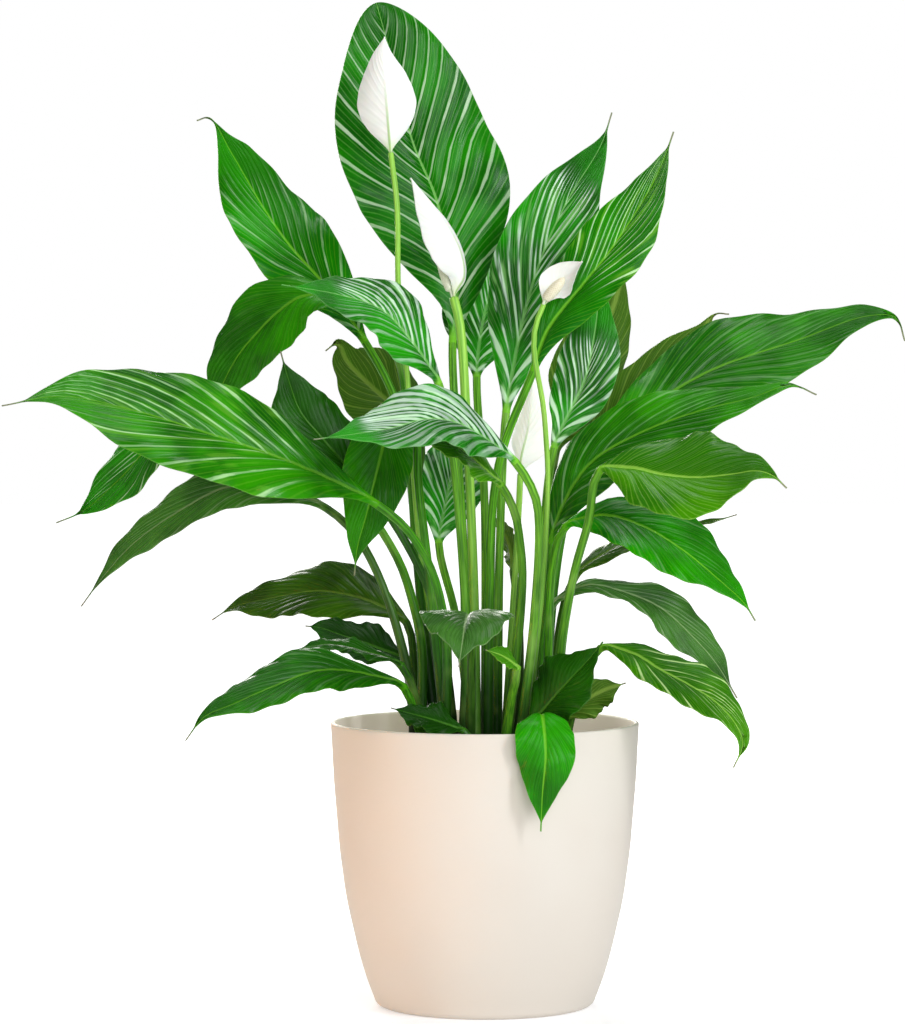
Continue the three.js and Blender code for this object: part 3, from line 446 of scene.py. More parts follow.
def half_width(form, s):
    end = 1 - form["tail"]
    own = form["root"][0] / 10
    along = np.where(s > form["wide"], (end - s) / (end - form["wide"]), s / form["wide"])
    draw = np.where(s > form["wide"], form["tip_draw"], form["base_draw"])
    shape = np.sin(np.pi / 2 * np.clip(along, 0, 1)) ** draw
    uneven = np.sin(2 * np.pi * (COARSE_UNEVEN * s + own))
    uneven = uneven + FINE_SHARE * np.sin(2 * np.pi * (FINE_UNEVEN * s - own))
    shape = shape * (1 + form["ragged"] * uneven)
    return np.maximum(form["width"] / 2 * shape, TIP_HALF_WIDTH)


def surface_height(form, s, u, half):
    across = np.abs(u)
    dish = half * (form["fold"] * across - form["droop"] * across ** 2)
    phase = 2 * np.pi * (form["waves"] * s + np.where(u > 0, 0.25, 0))
    full = np.minimum(1, half / FULL_WAVE_AT)
    wave = form["wave"] * full * np.sin(phase) * across ** 2
    ripple = form["ripple"] * full * across ** 4
    ripple = ripple * np.sin(RIPPLES_PER_WAVE * phase + form["root"][1])
    return dish + wave + ripple


def pushed_back(point, depth):
    x, y, z = point
    grow = (y - EYE[1] + depth) / (y - EYE[1])
    return (EYE[0] + (x - EYE[0]) * grow, y + depth, EYE[2] + (z - EYE[2]) * grow)


def leaned_points(leaf):
    points = np.array(leaf["stalk"] + leaf["blade"], float)
    starts = np.vstack([[*leaf["root"], SOIL_TOP], points[:-1]])
    reach = np.cumsum(np.linalg.norm(points - starts, axis=1))
    depths = leaf["lean"] * (reach / reach[-1]) ** LEAN_POWER
    return [pushed_back(p, d) for p, d in zip(points, depths)]


# %% [markdown]
# The blade's surface. A real blade is quilted: it bulges up between side veins that leave the
# midrib forward and curve toward the tip. So the mesh lines run along those veins, and a few
# rows for each vein are enough to show the bulge. That is cheaper and cleaner than a fine grid.

# %% Rings of a blade and a stalk
GROOVE_WIDTH = 1.6  # of the rib's groove, millimetres
VEIN_BEND = 1.15  # 1 for straight side veins, more for ones that curve toward the tip
QUILT_ROUNDNESS = 0.8
QUILT_FULL_AT = 20  # half width from which a blade is fully quilted
# Shares over which the quilting fades in from the rib, the margin, the foot and the tip.
FADE_RIB, FADE_MARGIN, FADE_FOOT, FADE_TIP = 0.12, 0.15, 0.1, 0.08


def round_points(centre, side, up, radius):
    turn = np.pi / 2 - COLUMNS * HALF_TURN
    upper = (side[:, None] * np.cos(turn)[None, :, None]
             + up[:, None] * np.sin(turn)[None, :, None])
    lower = (side[:, None] * np.cos(turn)[None, ::-1, None]
             - up[:, None] * np.sin(turn)[None, ::-1, None])
    ring = np.concatenate([upper, lower], axis=1)
    return centre[:, None] + ring * np.reshape(radius, (-1, 1, 1))


def blade_points(form, spine, start, s, u, sign):
    """Points of the upper (sign 1) or lower (sign -1) face, s along and u across, flat arrays."""
    centre, tangent = spine.at(start + (1 - start) * s)
    face = np.array(form["face"], float)
    face_tip = np.array(form.get("face_tip", form["face"]), float)
    hint = face[None] * (1 - s[:, None]) + face_tip[None] * s[:, None]
    up = square_to(hint, tangent)
    side = np.cross(tangent, up)
    half = half_width(form, s)
    x = np.abs(u) * half
    rib = form["thick"] + (form["rib"] - form["thick"]) * (
        1 - np.minimum(1, s / RIB_SHARE)) * np.exp(-(np.abs(u) / RIB_SPREAD) ** 2)
    lift = surface_height(form, s, u, half) + sign * form["thick"] / 2
    lift += np.where(sign > 0, 0, -(rib - form["thick"]))
    groove = form["groove"] * np.exp(-(x / GROOVE_WIDTH) ** 2) * np.sqrt(1 - s)
    lift -= np.where(sign > 0, groove, 0)
    return centre + side * (u * half)[:, None] + up * lift[:, None], up, half


def vein_grid(form):
    """s of each mesh point, and the number of side veins passed, by row and column."""
    rows = form["veins"] * STEPS_PER_VEIN
    s0 = np.linspace(0, 1, rows + 1)[:, None]
    s = 1 - (1 - s0) ** (1 + form["sweep"] * np.abs(COLUMNS)[None] ** VEIN_BEND)
    return s, np.broadcast_to(s0 * form["veins"], s.shape)


def quilt_height(form, s, u, phase, half, length):
    """How far the blade bulges between two veins: most in mid half, none at rib and margin."""
    bulge = np.abs(np.sin(np.pi * phase)) ** QUILT_ROUNDNESS
    across = np.abs(u)
    fade = smooth(across / FADE_RIB) * smooth((1 - across) / FADE_MARGIN)
    fade = fade * np.minimum(1, half / QUILT_FULL_AT)
    fade = fade * smooth(s / FADE_FOOT) * smooth((1 - s) / FADE_TIP)
    return form["quilt"] * length / form["veins"] * bulge * fade


def blade_rings(form, spine, start):
    s, phase = vein_grid(form)
    rows, columns = s.shape
    u = np.broadcast_to(COLUMNS[None], s.shape)
    faces = []
    for sign in (1, -1):
        flat, up, half = blade_points(form, spine, start, s.ravel(), u.ravel(), sign)
        lift = quilt_height(form, s.ravel(), u.ravel(), phase.ravel(), half,
                            spine.length * (1 - start))
        faces.append((flat + up * lift[:, None]).reshape(rows, columns, 3))
    flat = np.concatenate([faces[0], faces[1][:, ::-1]], axis=1)
    ring_s = s[:, columns // 2]
    centre, tangent = spine.at(start + (1 - start) * ring_s)
    face = np.array(form["face"], float)
    up = square_to(np.broadcast_to(face, tangent.shape), tangent)
    tube = round_points(centre, np.cross(tangent, up), up, np.full(rows, form["neck"]))
    blend = smooth(ring_s / BLEND)[:, None, None]
    rings = tube * (1 - blend) + flat * blend
    half = half.reshape(rows, columns)
    return rings, *(np.concatenate([a, a[:, ::-1]], axis=1) for a in (s, u, phase, half))


def stem_rings(spine, end, up_end, foot_radius, top_radius, thin_share):
    """Rings from the root up to share `end`, carrying the upper side down from the top."""
    count = max(4, int(spine.length * end / STEM_RING_STEP))
    shares = np.linspace(0, end, count + 1)
    centre, tangent = spine.at(shares)
    ups = np.zeros_like(centre)
    up = np.array(up_end, float)
    for i in range(count, -1, -1):
        up = square_to(up, tangent[i])
        ups[i] = up
    radius = top_radius + (foot_radius - top_radius) * np.maximum(0, 1 - shares / thin_share)
    return round_points(centre, np.cross(tangent, ups), ups, radius), shares


# %% [markdown]
# Rings become one closed mesh. Each point keeps where it is on the leaf as named attributes:
# how far along, how far across, in millimetres from the rib, and how many side veins it has
# passed. The materials read these, so a colour follows the real veins and not the world's axes.

# %% Mesh from rings
def closed_skin(rings):
    """Points and faces of a closed skin: the rings, and a point in the middle of each end."""
    rows, count, _ = rings.shape
    points = np.concatenate([rings.reshape(-1, 3), rings[0].mean(0)[None],
                             rings[-1].mean(0)[None]])
    i, j = np.meshgrid(np.arange(rows - 1), np.arange(count), indexing="ij")
    a = i * count + j
    b = i * count + (j + 1) % count
    quads = np.stack([a, b, b + count, a + count], axis=-1).reshape(-1, 4).tolist()
    start_middle, end_middle, last_ring = rows * count, rows * count + 1, (rows - 1) * count
    caps = [((k + 1) % count, k, start_middle) for k in range(count)]
    caps += [(last_ring + k, last_ring + (k + 1) % count, end_middle) for k in range(count)]
    return points, quads + caps


def mark(mesh, name, values):
    """Store a value for each ring point, or one colour for them all."""
    values = np.asarray(values, float)
    if values.ndim == 1:
        data = np.tile(values, len(mesh.vertices)).astype(np.float32)
        mesh.attributes.new(name, "FLOAT_COLOR", "POINT").data.foreach_set("color", data)
    else:
        ends = [values[0].mean(), values[-1].mean()]
        data = np.concatenate([values.ravel(), ends]).astype(np.float32)
        mesh.attributes.new(name, "FLOAT", "POINT").data.foreach_set("value", data)


def ring_object(name, rings, marks, materials, slots=None):
    points, faces = closed_skin(rings)
    mesh = bpy.data.meshes.new(name)
    mesh.from_pydata((points * MM).tolist(), [], faces)
    for key, values in marks.items():
        mark(mesh, key, values)
    for material in materials:
        mesh.materials.append(material)
    if slots is not None:
        caps = np.repeat([slots[0, 0], slots[-1, 0]], rings.shape[1])
        index = np.concatenate([slots.ravel(), caps]).astype(np.int32)
        mesh.polygons.foreach_set("material_index", index)
    mesh.polygons.foreach_set("use_smooth", [True] * len(mesh.polygons))
    mesh.update()
    piece = bpy.data.objects.new(name, mesh)
    bpy.context.scene.collection.objects.link(piece)
    return piece


def settle(piece, node):
    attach(piece, "root")
    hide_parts(node)


print("a ring has", 2 * len(COLUMNS), "points")

# %% [markdown]
# Living leaf, upper side. The cuticle is a thin wax film with an IOR near 1.45 over dark green
# tissue: satin to glossy. The side veins lie in narrow furrows that get a painted shade, with
# finer pale lines between them, and painted highlights lie in long pale strokes beside the veins,
# with a broad painted sheen in places. The rib is a pale groove. All of it is drawn from the
# attributes, in steps of a vein or a millimetre, as coats of colour laid one over the other.

# %% Leaf, upper side
SOFT = {"interpolation_type": "SMOOTHSTEP"}
TIMES = {"operation": "MULTIPLY"}
DRY_BROWN = "#8C8373"


def coated(tree, colour, coats):
    """The colour under coats of other ones, each laid on where its mask is 1."""
    for mask, coat in coats:
        colour = add(tree, "Mix", {0: mask, 6: colour, 7: coat}, 2, data_type="RGBA")
    return colour


def vein_line(tree, vein, repeats, width):
    """1 on each vein, falling to 0 at that share of the distance to the next."""
    count = add(tree, "Math", [vein, repeats], **TIMES)
    from_line = add(tree, "Math", [count, 0.5], operation="PINGPONG")
    return add(tree, "MapRange", [from_line, 0.0, width, 1.0, 0.0], **SOFT)


def painted_glint_masks(tree, vein, strokes):
    """Where painted highlights lie: strokes beside each side vein, and a sheen between them."""
    streak, even, bar = (add(tree, "Attribute", out="Fac", attribute_name=name)
                         for name in ("streak", "even", "bar"))
    off_vein = add(tree, "Math", [vein, 0.3], operation="ADD")
    patches = add(tree, "Math", [add(tree, "MapRange", [strokes, 0.42, 0.62], **SOFT), even],
                  operation="MAXIMUM")
    swell = add(tree, "MapRange", [strokes, 0.3, 0.7, 0.6, 1.3], **SOFT)
    width = add(tree, "Math", [bar, swell], **TIMES)
    beside = add(tree, "MapRange", [vein_line(tree, off_vein, 1.0, width), 0.15, 0.7], **SOFT)
    shine = add(tree, "MapRange", [streak, 0.0, 0.8, 0.0, 0.9], **SOFT)
    painted_glint = add(tree, "Math", [add(tree, "Math", [shine, beside], **TIMES), patches], **TIMES)
    much = add(tree, "MapRange", [streak, 0.55, 1.0, 0.0, 0.5], **SOFT)
    broad = add(tree, "MapRange", [strokes, 0.5, 0.62], **SOFT)
    return painted_glint, add(tree, "Math", [much, broad], **TIMES)


def leaf_upper_material():
    material, tree = new_material("living_leaf_waxy_upper_side")
    vein, along, from_rib, half, shade, dry = (
        add(tree, "Attribute", out="Fac", attribute_name=name)
        for name in ("vein", "along", "rib_mm", "half_mm", "shade", "dry"))
    deep, bright, line, painted_glint, stem = (add(tree, "Attribute", attribute_name=name)
                                     for name in ("deep", "bright", "line", "painted_glint", "stem"))
    # Noise drawn out along the veins, counted in veins and millimetres from the rib, so each
    # painted highlight stroke lies beside a vein and changes slowly on its way to the margin.
    on_blade = add(tree, "CombineXYZ", [vein, from_rib, along])
    strokes_at = add(tree, "VectorMath", [on_blade, (1.9, 0.06, 3.0)], **TIMES)
    strokes = add(tree, "TexNoise", {"Vector": strokes_at, "Scale": 1.0, "Detail": 2.0})
    fine_at = add(tree, "VectorMath", [on_blade, (9.0, 0.12, 0.0)], **TIMES)
    fine = add(tree, "TexNoise", {"Vector": fine_at, "Scale": 1.0, "Detail": 2.0})
    place = add(tree, "TexCoord", out="Object")
    clouds = add(tree, "TexNoise", {"Vector": place, "Scale": spots_of(45), "Detail": 3.0})
    furrow_shade = vein_line(tree, vein, 1.0, 0.14)
    threads = vein_line(tree, vein, 4.0, 0.2)
    strokes_mask, painted_sheen_mask = painted_glint_masks(tree, vein, strokes)
    rib_width = add(tree, "MapRange", [along, 0.0, 1.0, 1.7, 0.3], **SOFT)
    on_rib = add(tree, "Math", [from_rib, rib_width], operation="DIVIDE")
    from_margin = add(tree, "Math", [half, from_rib], operation="SUBTRACT")
    colour = coated(tree, deep, [
        (add(tree, "MapRange", [clouds, 0.35, 0.65], **SOFT), bright),
        (add(tree, "MapRange", [fine, 0.4, 0.7, 0.0, 0.35], **SOFT), bright),
        # painted shade over the half of the leaf named in SHADED_HALF
        (shade, deep),
        # painted shade in the furrows of the side veins
        (add(tree, "Math", [furrow_shade, 0.35], **TIMES), deep),
        (add(tree, "Math", [threads, 0.18], **TIMES), line),
        # painted highlight: pale strokes beside the side veins
        (strokes_mask, painted_glint),
        # painted sheen: broad pale patches between the veins
        (painted_sheen_mask, line),
        (add(tree, "MapRange", [on_rib, 0.45, 1.0, 0.55, 0.0], **SOFT), line),
        (add(tree, "MapRange", [from_margin, 0.0, 0.7, 0.25, 0.0], **SOFT), line),
        (dry, DRY_BROWN),
        (add(tree, "MapRange", [along, 0.0, 0.07, 1.0, 0.0], **SOFT), stem)])
    relief = add(tree, "Math", [add(tree, "Math", [threads, -0.5], **TIMES),
                                add(tree, "Math", [fine, 0.6], **TIMES)], operation="ADD")
    fill(tree, tree.nodes["Principled BSDF"], {
        "IOR": 1.45, "Specular IOR Level": 0.15, "Base Color": colour,
        "Roughness": add(tree, "MapRange", [strokes, 0.3, 0.7, 0.2, 0.33], **SOFT),
        "Normal": add(tree, "Bump", {"Height": relief, "Strength": 0.35, "Distance": 0.0004})})
    return material


# %% [markdown]
# Underside: no wax, so it is matt and paler, and the side veins and the rib stand out as ridges.

# %% Leaf, underside
def leaf_lower_material():
    material, tree = new_material("living_leaf_matt_underside")
    vein, along, from_rib, dry = (add(tree, "Attribute", out="Fac", attribute_name=name)
                                  for name in ("vein", "along", "rib_mm", "dry"))
    back, bright, line, stem = (add(tree, "Attribute", attribute_name=name)
                                for name in ("back", "bright", "line", "stem"))
    place = add(tree, "TexCoord", out="Object")
    clouds = add(tree, "TexNoise", {"Vector": place, "Scale": spots_of(40), "Detail": 3.0})
    ridges = add(tree, "Math", [vein_line(tree, vein, 1.0, 0.14), 0.6], **TIMES)
    threads = add(tree, "Math", [vein_line(tree, vein, 4.0, 0.25), 0.25], **TIMES)
    lines = add(tree, "Math", [ridges, threads], operation="MAXIMUM")
    colour = coated(tree, back, [
        (add(tree, "MapRange", [clouds, 0.3, 0.7, 0.0, 0.45], **SOFT), bright),
        (lines, line),
        (add(tree, "MapRange", [from_rib, 0.8, 2.4, 0.8, 0.0], **SOFT), line),
        (dry, DRY_BROWN),
        (add(tree, "MapRange", [along, 0.0, 0.07, 1.0, 0.0], **SOFT), stem)])
    fill(tree, tree.nodes["Principled BSDF"], {
        "IOR": 1.45, "Specular IOR Level": 0.13, "Roughness": 0.48, "Base Color": colour,
        "Normal": add(tree, "Bump", {"Height": lines, "Strength": 0.4, "Distance": 0.0005})})
    return material


# %% [markdown]
# Stalk: a fleshy, water-filled stem with long fibres under a smooth skin. Near the soil, where it
# stands in the shade, it gets a painted shade, and it is paler higher up, with soft pale clouds.

# %% Stalk
SHADED_BASE = "#0A2604"


def stalk_material():
    material, tree = new_material("fleshy_green_stalk")
    along, around = (add(tree, "Attribute", out="Fac", attribute_name=name)
                     for name in ("along", "around"))
    stem, stem_dark = (add(tree, "Attribute", attribute_name=name)
                       for name in ("stem", "stem_dark"))
    fibres_at = add(tree, "VectorMath", [add(tree, "CombineXYZ", [around, along]),
                                         (9.0, 3.0, 0.0)], **TIMES)
    fibres = add(tree, "TexNoise", {"Vector": fibres_at, "Scale": 2.0, "Detail": 3.0})
    place = add(tree, "TexCoord", out="Object")
    clouds = add(tree, "TexNoise", {"Vector": place, "Scale": spots_of(33), "Detail": 2.0})
    colour = coated(tree, stem, [
        (add(tree, "MapRange", [fibres, 0.35, 0.65, 0.0, 0.75], **SOFT), stem_dark),
        # the next two coats are painted shade, darkest at the foot near the soil
        (add(tree, "MapRange", [along, -1.0, -0.3, 1.0, 0.0], **SOFT), stem_dark),
        (add(tree, "MapRange", [along, -1.0, -0.65, 0.6, 0.0], **SOFT), SHADED_BASE),
        (add(tree, "MapRange", [clouds, 0.55, 0.75, 0.0, 0.3], **SOFT), "#A8CF6A")])
    fill(tree, tree.nodes["Principled BSDF"], {
        "IOR": 1.42, "Specular IOR Level": 0.3, "Roughness": 0.38, "Base Color": colour,
        "Normal": add(tree, "Bump", {"Height": fibres, "Strength": 0.3, "Distance": 0.0004})})
    return material


LEAF_MATERIALS = [stalk_material(), leaf_upper_material(), leaf_lower_material()]
print("leaf materials:", [m.name for m in LEAF_MATERIALS])

# %% [markdown]
# No two leaves have the same green. Young ones are lime and grown ones mid green; those in shade
# get a painted shade, nearly black, and those seen from behind are olive. The grey-green ones
# carry a painted sheen of glancing light. Each leaf gets a set of colours by name, and a streak
# value for how much painted highlight it shows.

# %% Colours of the leaves
SKINS = {
    "vivid": dict(deep="#085A00", bright="#1E9400", line="#80CA30", back="#5B9A1E",
                  painted_glint="#CDEFC0", stem="#62B41A", stem_dark="#124A04"),
    "tall": dict(deep="#075200", bright="#187E00", line="#86CC60", back="#5B9A1E",
                 painted_glint="#DDF6D2", stem="#7CCC30", stem_dark="#1E5A0C"),
    "mid": dict(deep="#0C5000", bright="#2A8800", line="#70B42C", back="#4A7A12",
                painted_glint="#B4DDA4", stem="#4A9A10", stem_dark="#0F4204"),
    # dark: painted shade, for leaves that lie in shade
    "dark": dict(deep="#073200", bright="#195600", line="#4F8A28", back="#41601A",
                 painted_glint="#8FBC80", stem="#306E0C", stem_dark="#0A2E03"),
    "lime": dict(deep="#1A5E00", bright="#3C8400", line="#A6DA58", back="#78AA30",
                 painted_glint="#C8E69A", stem="#64A822", stem_dark="#1C560C"),
    "mint": dict(deep="#084A02", bright="#1C9204", line="#8CCB74", back="#4F8F30",
                 painted_glint="#E6F8EC", stem="#7CC434", stem_dark="#1E5A0C"),
    "olive": dict(deep="#1A3A02", bright="#35620A", line="#7A9A3C", back="#3C6410",
                  painted_glint="#9CB070", stem="#3F6E16", stem_dark="#143006"),
    # grey: a painted sheen of light glancing off the leaf
    "grey": dict(deep="#1C4A10", bright="#3F7A22", line="#9DB880", back="#566A34",
                 painted_glint="#B8CCA4", stem="#457620", stem_dark="#163608"),
}
# A leaf's skin, and its painted highlight: how strong, from where to where along it, and on
# which half (-1 left of the rib, 1 right of it, 0 both).
LOOK_OF = {
    "leaf_top": ("tall", 0.45, 0.05, 0.95, 0), "leaf_left_upper": ("vivid", 0.35, 0, 0.7, 0),
    "leaf_left_inner": ("mint", 0.9, 0.1, 0.7, 1), "leaf_left_drooping": ("mid", 0.05, 0, 1, 0),
    "leaf_left_long": ("mid", 0.8, 0.25, 1, 0), "leaf_left_far": ("vivid", 0.5, 0.4, 1, 0),
    "leaf_left_hanging": ("grey", 0.2, 0.1, 0.9, 0), "leaf_left_olive": ("olive", 0.1, 0, 1, 0),
    "leaf_left_dark": ("dark", 0.05, 0, 1, 0), "leaf_left_narrow": ("dark", 0.1, 0, 1, 0),
    "leaf_left_low": ("mid", 0.15, 0.1, 0.8, 0), "leaf_left_rim": ("dark", 0.05, 0, 1, 0),
    "leaf_middle_arching": ("mint", 1, 0.02, 0.75, 1),
    "leaf_middle_under": ("lime", 0.2, 0, 1, 0), "leaf_left_peaked": ("dark", 0.05, 0, 1, 0),
    "leaf_back_left": ("olive", 0.1, 0, 1, 0), "leaf_front_nodding": ("grey", 0.05, 0, 1, 0),
    "leaf_front_small": ("lime", 0.05, 0, 1, 0), "leaf_middle_hanging": ("mid", 0, 0, 1, 0),
    "leaf_back_middle": ("mint", 1, 0, 0.8, 0), "leaf_back_small": ("olive", 0.1, 0, 1, 0),
    "leaf_right_upper": ("mint", 1, 0, 0.75, 0), "leaf_back_upper": ("mint", 0.9, 0, 0.8, 0),
    "leaf_right_inner": ("vivid", 0.8, 0.4, 0.97, 0),
    "leaf_right_streaked": ("mint", 0.9, 0, 0.6, 0),
    "leaf_back_right": ("olive", 0, 0, 1, 0), "leaf_right_long": ("mid", 0.2, 0, 1, 0),
    "leaf_back_right_low": ("olive", 0.05, 0, 1, 0), "leaf_right_broad": ("mid", 0.25, 0, 1, 0),
    "leaf_right_lime": ("lime", 0.1, 0, 1, 0), "leaf_right_glossy": ("vivid", 0.15, 0, 1, 0),
    "leaf_right_behind": ("olive", 0.1, 0, 1, 0), "leaf_right_twisted": ("grey", 0.3, 0, 1, 0),
    "leaf_right_low": ("lime", 0.6, 0.2, 0.9, 0), "leaf_front_dark": ("dark", 0, 0, 1, 0),
    "leaf_right_rim": ("olive", 0, 0, 1, 0), "leaf_over_rim": ("vivid", 0, 0, 1, 0),
}
# Which half of a leaf gets painted shade, a deeper green, -1 or 1, and how much.
SHADED_HALF = {"leaf_right_lime": (-1, 0.8), "leaf_right_inner": (1, 0.5),
               "leaf_left_upper": (1, 0.5), "leaf_left_low": (1, 0.6),
               "leaf_left_drooping": (1, 0.3), "leaf_right_long": (1, 0.5),
               "leaf_middle_hanging": (-1, 0.4)}
# How evenly the painted highlight strokes follow every vein: 0 for patches of them, 1 for all
# along.
EVEN_STROKES = {"leaf_top": 0.7, "leaf_right_inner": 0.6, "leaf_right_streaked": 0.2,
                "leaf_left_long": 0.4, "leaf_middle_arching": 0.5, "leaf_left_upper": 0.5,
                "leaf_left_inner": 0.4, "leaf_back_middle": 0.4}
# How wide a painted highlight stroke is, as a share of the way from vein to vein.
BAR_WIDTH = {"mint": 0.3, "leaf_middle_arching": 0.5}
# How dry and grey the last bit of the tip is, where it isn't TIP_DRYNESS.
TIP_DRYNESS = 0.75
DRY_TIPS = {"leaf_top": 0, "leaf_over_rim": 0.2, "leaf_front_dark": 0, "leaf_left_inner": 0}
THIN_BAR = 0.12
print("skins:", list(SKINS))


# %% [markdown]
# Every leaf is one piece from the soil to its tip: the round stalk flattens into the blade.
# Each of its points is marked with what the materials ask for.

# %% Leaves
# SHINE_EDGE is the share of the blade over which the painted highlight comes and goes.
SHINE_EDGE = 0.12  # share of the blade over which the wax shine comes and goes
OTHER_HALF_SHINE = 0.35
SHADE_EDGE = 0.1
DRY_FROM, DRY_EDGE = 0.945, 0.03


def leaf_marks(leaf, stem_along, s, u, vein, half):
    """The marks of a leaf's points by name, the stalk's rings first and then the blade's."""
    skin_name, shine, shine_from, shine_to, shine_half = LOOK_OF[leaf["name"]]
    none = np.zeros((len(stem_along), s.shape[1]))
    window = smooth((s - shine_from) / SHINE_EDGE + 0.5)
    window = window * smooth((shine_to - s) / SHINE_EDGE + 0.5)
    streak = shine * window * np.where(u * shine_half < 0, OTHER_HALF_SHINE, 1)
    shaded_half, depth = SHADED_HALF.get(leaf["name"], (0, 0))
    dry = DRY_TIPS.get(leaf["name"], TIP_DRYNESS) * smooth((s - DRY_FROM) / DRY_EDGE)
    marks = {
        "along": np.vstack([none + stem_along[:, None], s]),
        "vein": np.vstack([none, vein]),
        "rib_mm": np.vstack([none + np.abs(u[0]) * leaf["neck"], np.abs(u) * half]),
        "half_mm": np.vstack([none + leaf["neck"], half]),
        "dry": np.vstack([none, dry]),
        "streak": np.vstack([none, streak]),
        "shade": np.vstack([none, depth * smooth(u * shaded_half / SHADE_EDGE)]),
    }
    whole = np.ones(marks["along"].shape)
    marks["around"] = whole * np.linspace(0, 1, s.shape[1])
    marks["even"] = whole * EVEN_STROKES.get(leaf["name"], 0)
    marks["bar"] = whole * BAR_WIDTH.get(leaf["name"], BAR_WIDTH.get(skin_name, THIN_BAR))
    return marks | {part: rgba(colour) for part, colour in SKINS[skin_name].items()}


def make_leaf(spec):
    leaf = {**LEAF_FORM, **spec}
    spine = Spine([(*leaf["root"], ROOT_Z), (*leaf["root"], SOIL_TOP), *leaned_points(leaf)])
    base = spine.share_at_point(len(leaf["stalk"]) + 2)
    up = square_to(np.array(leaf["face"], float), spine.at([base])[1][0])
    stem, shares = stem_rings(spine, base, up, SHEATH_RADIUS, leaf["neck"], SHEATH_SHARE * base)
    stem, shares = stem[:-1], shares[:-1]
    blade, s, u, vein, half = blade_rings(leaf, spine, base)
    rings = np.concatenate([stem, blade])
    marks = leaf_marks(leaf, shares / base - 1, s, u, vein, half)
    # Which of LEAF_MATERIALS: the stalk's all round it, then the upper and the lower side's.
    slots = np.zeros((len(rings) - 1, s.shape[1]), int)
    slots[len(stem):] = 1
    slots[len(stem):, s.shape[1] // 2:-1] = 2
    piece = ring_object(leaf["name"] + "_skin", rings, marks, LEAF_MATERIALS, slots)
    settle(piece, leaf["name"])
    return len(piece.data.polygons)


print("leaf faces:", sum(make_leaf(spec) for spec in LEAVES))

# %% [markdown]
# A bloom is a stalk, a white hood (the spathe) and a knobbly spike (the spadix). The spathe is a
# leaf that lost its green: thick, matt and soft, a little see-through, with a green rib at its
# foot. The low hood between the stalks is seen from its shaded back: it shines faintly itself,
# which stands in for the light that comes through it.

# %% Spathe material
LIGHT_THROUGH_HOOD = 0.28


def spathe_material(name, light_through):
    material, tree = new_material(name)
    vein, along, from_rib = (add(tree, "Attribute", out="Fac", attribute_name=name)
                             for name in ("vein", "along", "rib_mm"))
    strokes_at = add(tree, "VectorMath", [add(tree, "CombineXYZ", [vein, from_rib]),
                                          (3.0, 0.1, 0.0)], **TIMES)
    strokes = add(tree, "TexNoise", {"Vector": strokes_at, "Scale": 1.0, "Detail": 3.0})
    near_rib = add(tree, "MapRange", [from_rib, 0.3, 1.3, 1.0, 0.0], **SOFT)
    low_down = add(tree, "MapRange", [along, 0.1, 0.75, 0.85, 0.0], **SOFT)
    colour = coated(tree, "#EDEDE8", [
        (add(tree, "MapRange", [strokes, 0.35, 0.7, 0.0, 0.5], **SOFT), "#E3E5DD"),
        (add(tree, "MapRange", [along, 0.0, 0.16, 0.8, 0.0], **SOFT), "#B9D58C"),
        (add(tree, "Math", [near_rib, low_down], **TIMES), "#8FB864")])
    veins = vein_line(tree, vein, 1.0, 0.3)
    fill(tree, tree.nodes["Principled BSDF"], {
        "IOR": 1.4, "Roughness": 0.5, "Subsurface Weight": 0.15, "Subsurface Scale": 0.002,
        "Base Color": colour, "Emission Color": colour, "Emission Strength": light_through,
        "Normal": add(tree, "Bump", {"Height": veins, "Strength": 0.25, "Distance": 0.0004})})
    return material


# %% [markdown]
# The spadix is packed with small flowers in crossing spirals: cream knobs with deeper cream
# between them. Its foot is a short bare stub, pale green, as is the whole spike of a bloom that
# is just opening.

# %% Spadix material
def spadix_material():
    material, tree = new_material("spadix_florets")
    knob, young = (add(tree, "Attribute", out="Fac", attribute_name=name)
                   for name in ("knob", "young"))
    place = add(tree, "TexCoord", out="Object")
    grains = add(tree, "TexNoise", {"Vector": place, "Scale": spots_of(1.1), "Detail": 2.0})
    colour = coated(tree, "#D6CCA0", [
        (add(tree, "MapRange", [knob, 0.1, 0.8], **SOFT), "#F1EBD2"),
        (young, "#DDE6CC"),
        (add(tree, "MapRange", [grains, 0.45, 0.7, 0.0, 0.5], **SOFT), "#FBF6E6")])
    fill(tree, tree.nodes["Principled BSDF"], {
        "Roughness": 0.75, "Base Color": colour,
        "Normal": add(tree, "Bump", {"Height": grains, "Strength": 0.4, "Distance": 0.0003})})
    return material


SPATHE_PETAL = spathe_material("spathe_petal", 0)
SPATHE_BACKLIT = spathe_material("spathe_petal_backlit", LIGHT_THROUGH_HOOD)
SPADIX_FLORETS = spadix_material()
print("bloom materials:", SPATHE_PETAL.name, SPATHE_BACKLIT.name, SPADIX_FLORETS.name)

# %% [markdown]
# Stalk and hood. Hood and spike both stand on the stalk's top, each on a thin foot a little off
# its middle, so that they lie close and don't cut each other. The stalk ends in a low dome that
# closes round both feet, as it does where they grow out of it.

# %% Stalks and hoods of the blooms
FOOT_GAP = 0.5
FOOT_RISE = 2.5
FOOT_OFFSET = 1.1
FOOT_RADIUS = 0.9
BLOOM_SWELL = 0.8  # how much thicker a stalk is at the soil
BLOOM_SWELL_SHARE = 0.5  # of the stalk, over which that is gone
DOME_RISE = 1.6
DOME_TURNS = np.radians([20, 40, 60, 75, 85])  # where its rings lie: 0 its foot, 90 its top


def domed(rings, shares, top, along):
    """The rings of a stalk and, past its end, those of the dome that closes it."""
    for turn in DOME_TURNS:
        ring = top + (rings[len(shares) - 1] - top) * np.cos(turn)
        rings = np.concatenate([rings, (ring + along * DOME_RISE * np.sin(turn))[None]])
    return rings, np.concatenate([shares, np.ones(len(DOME_TURNS))])


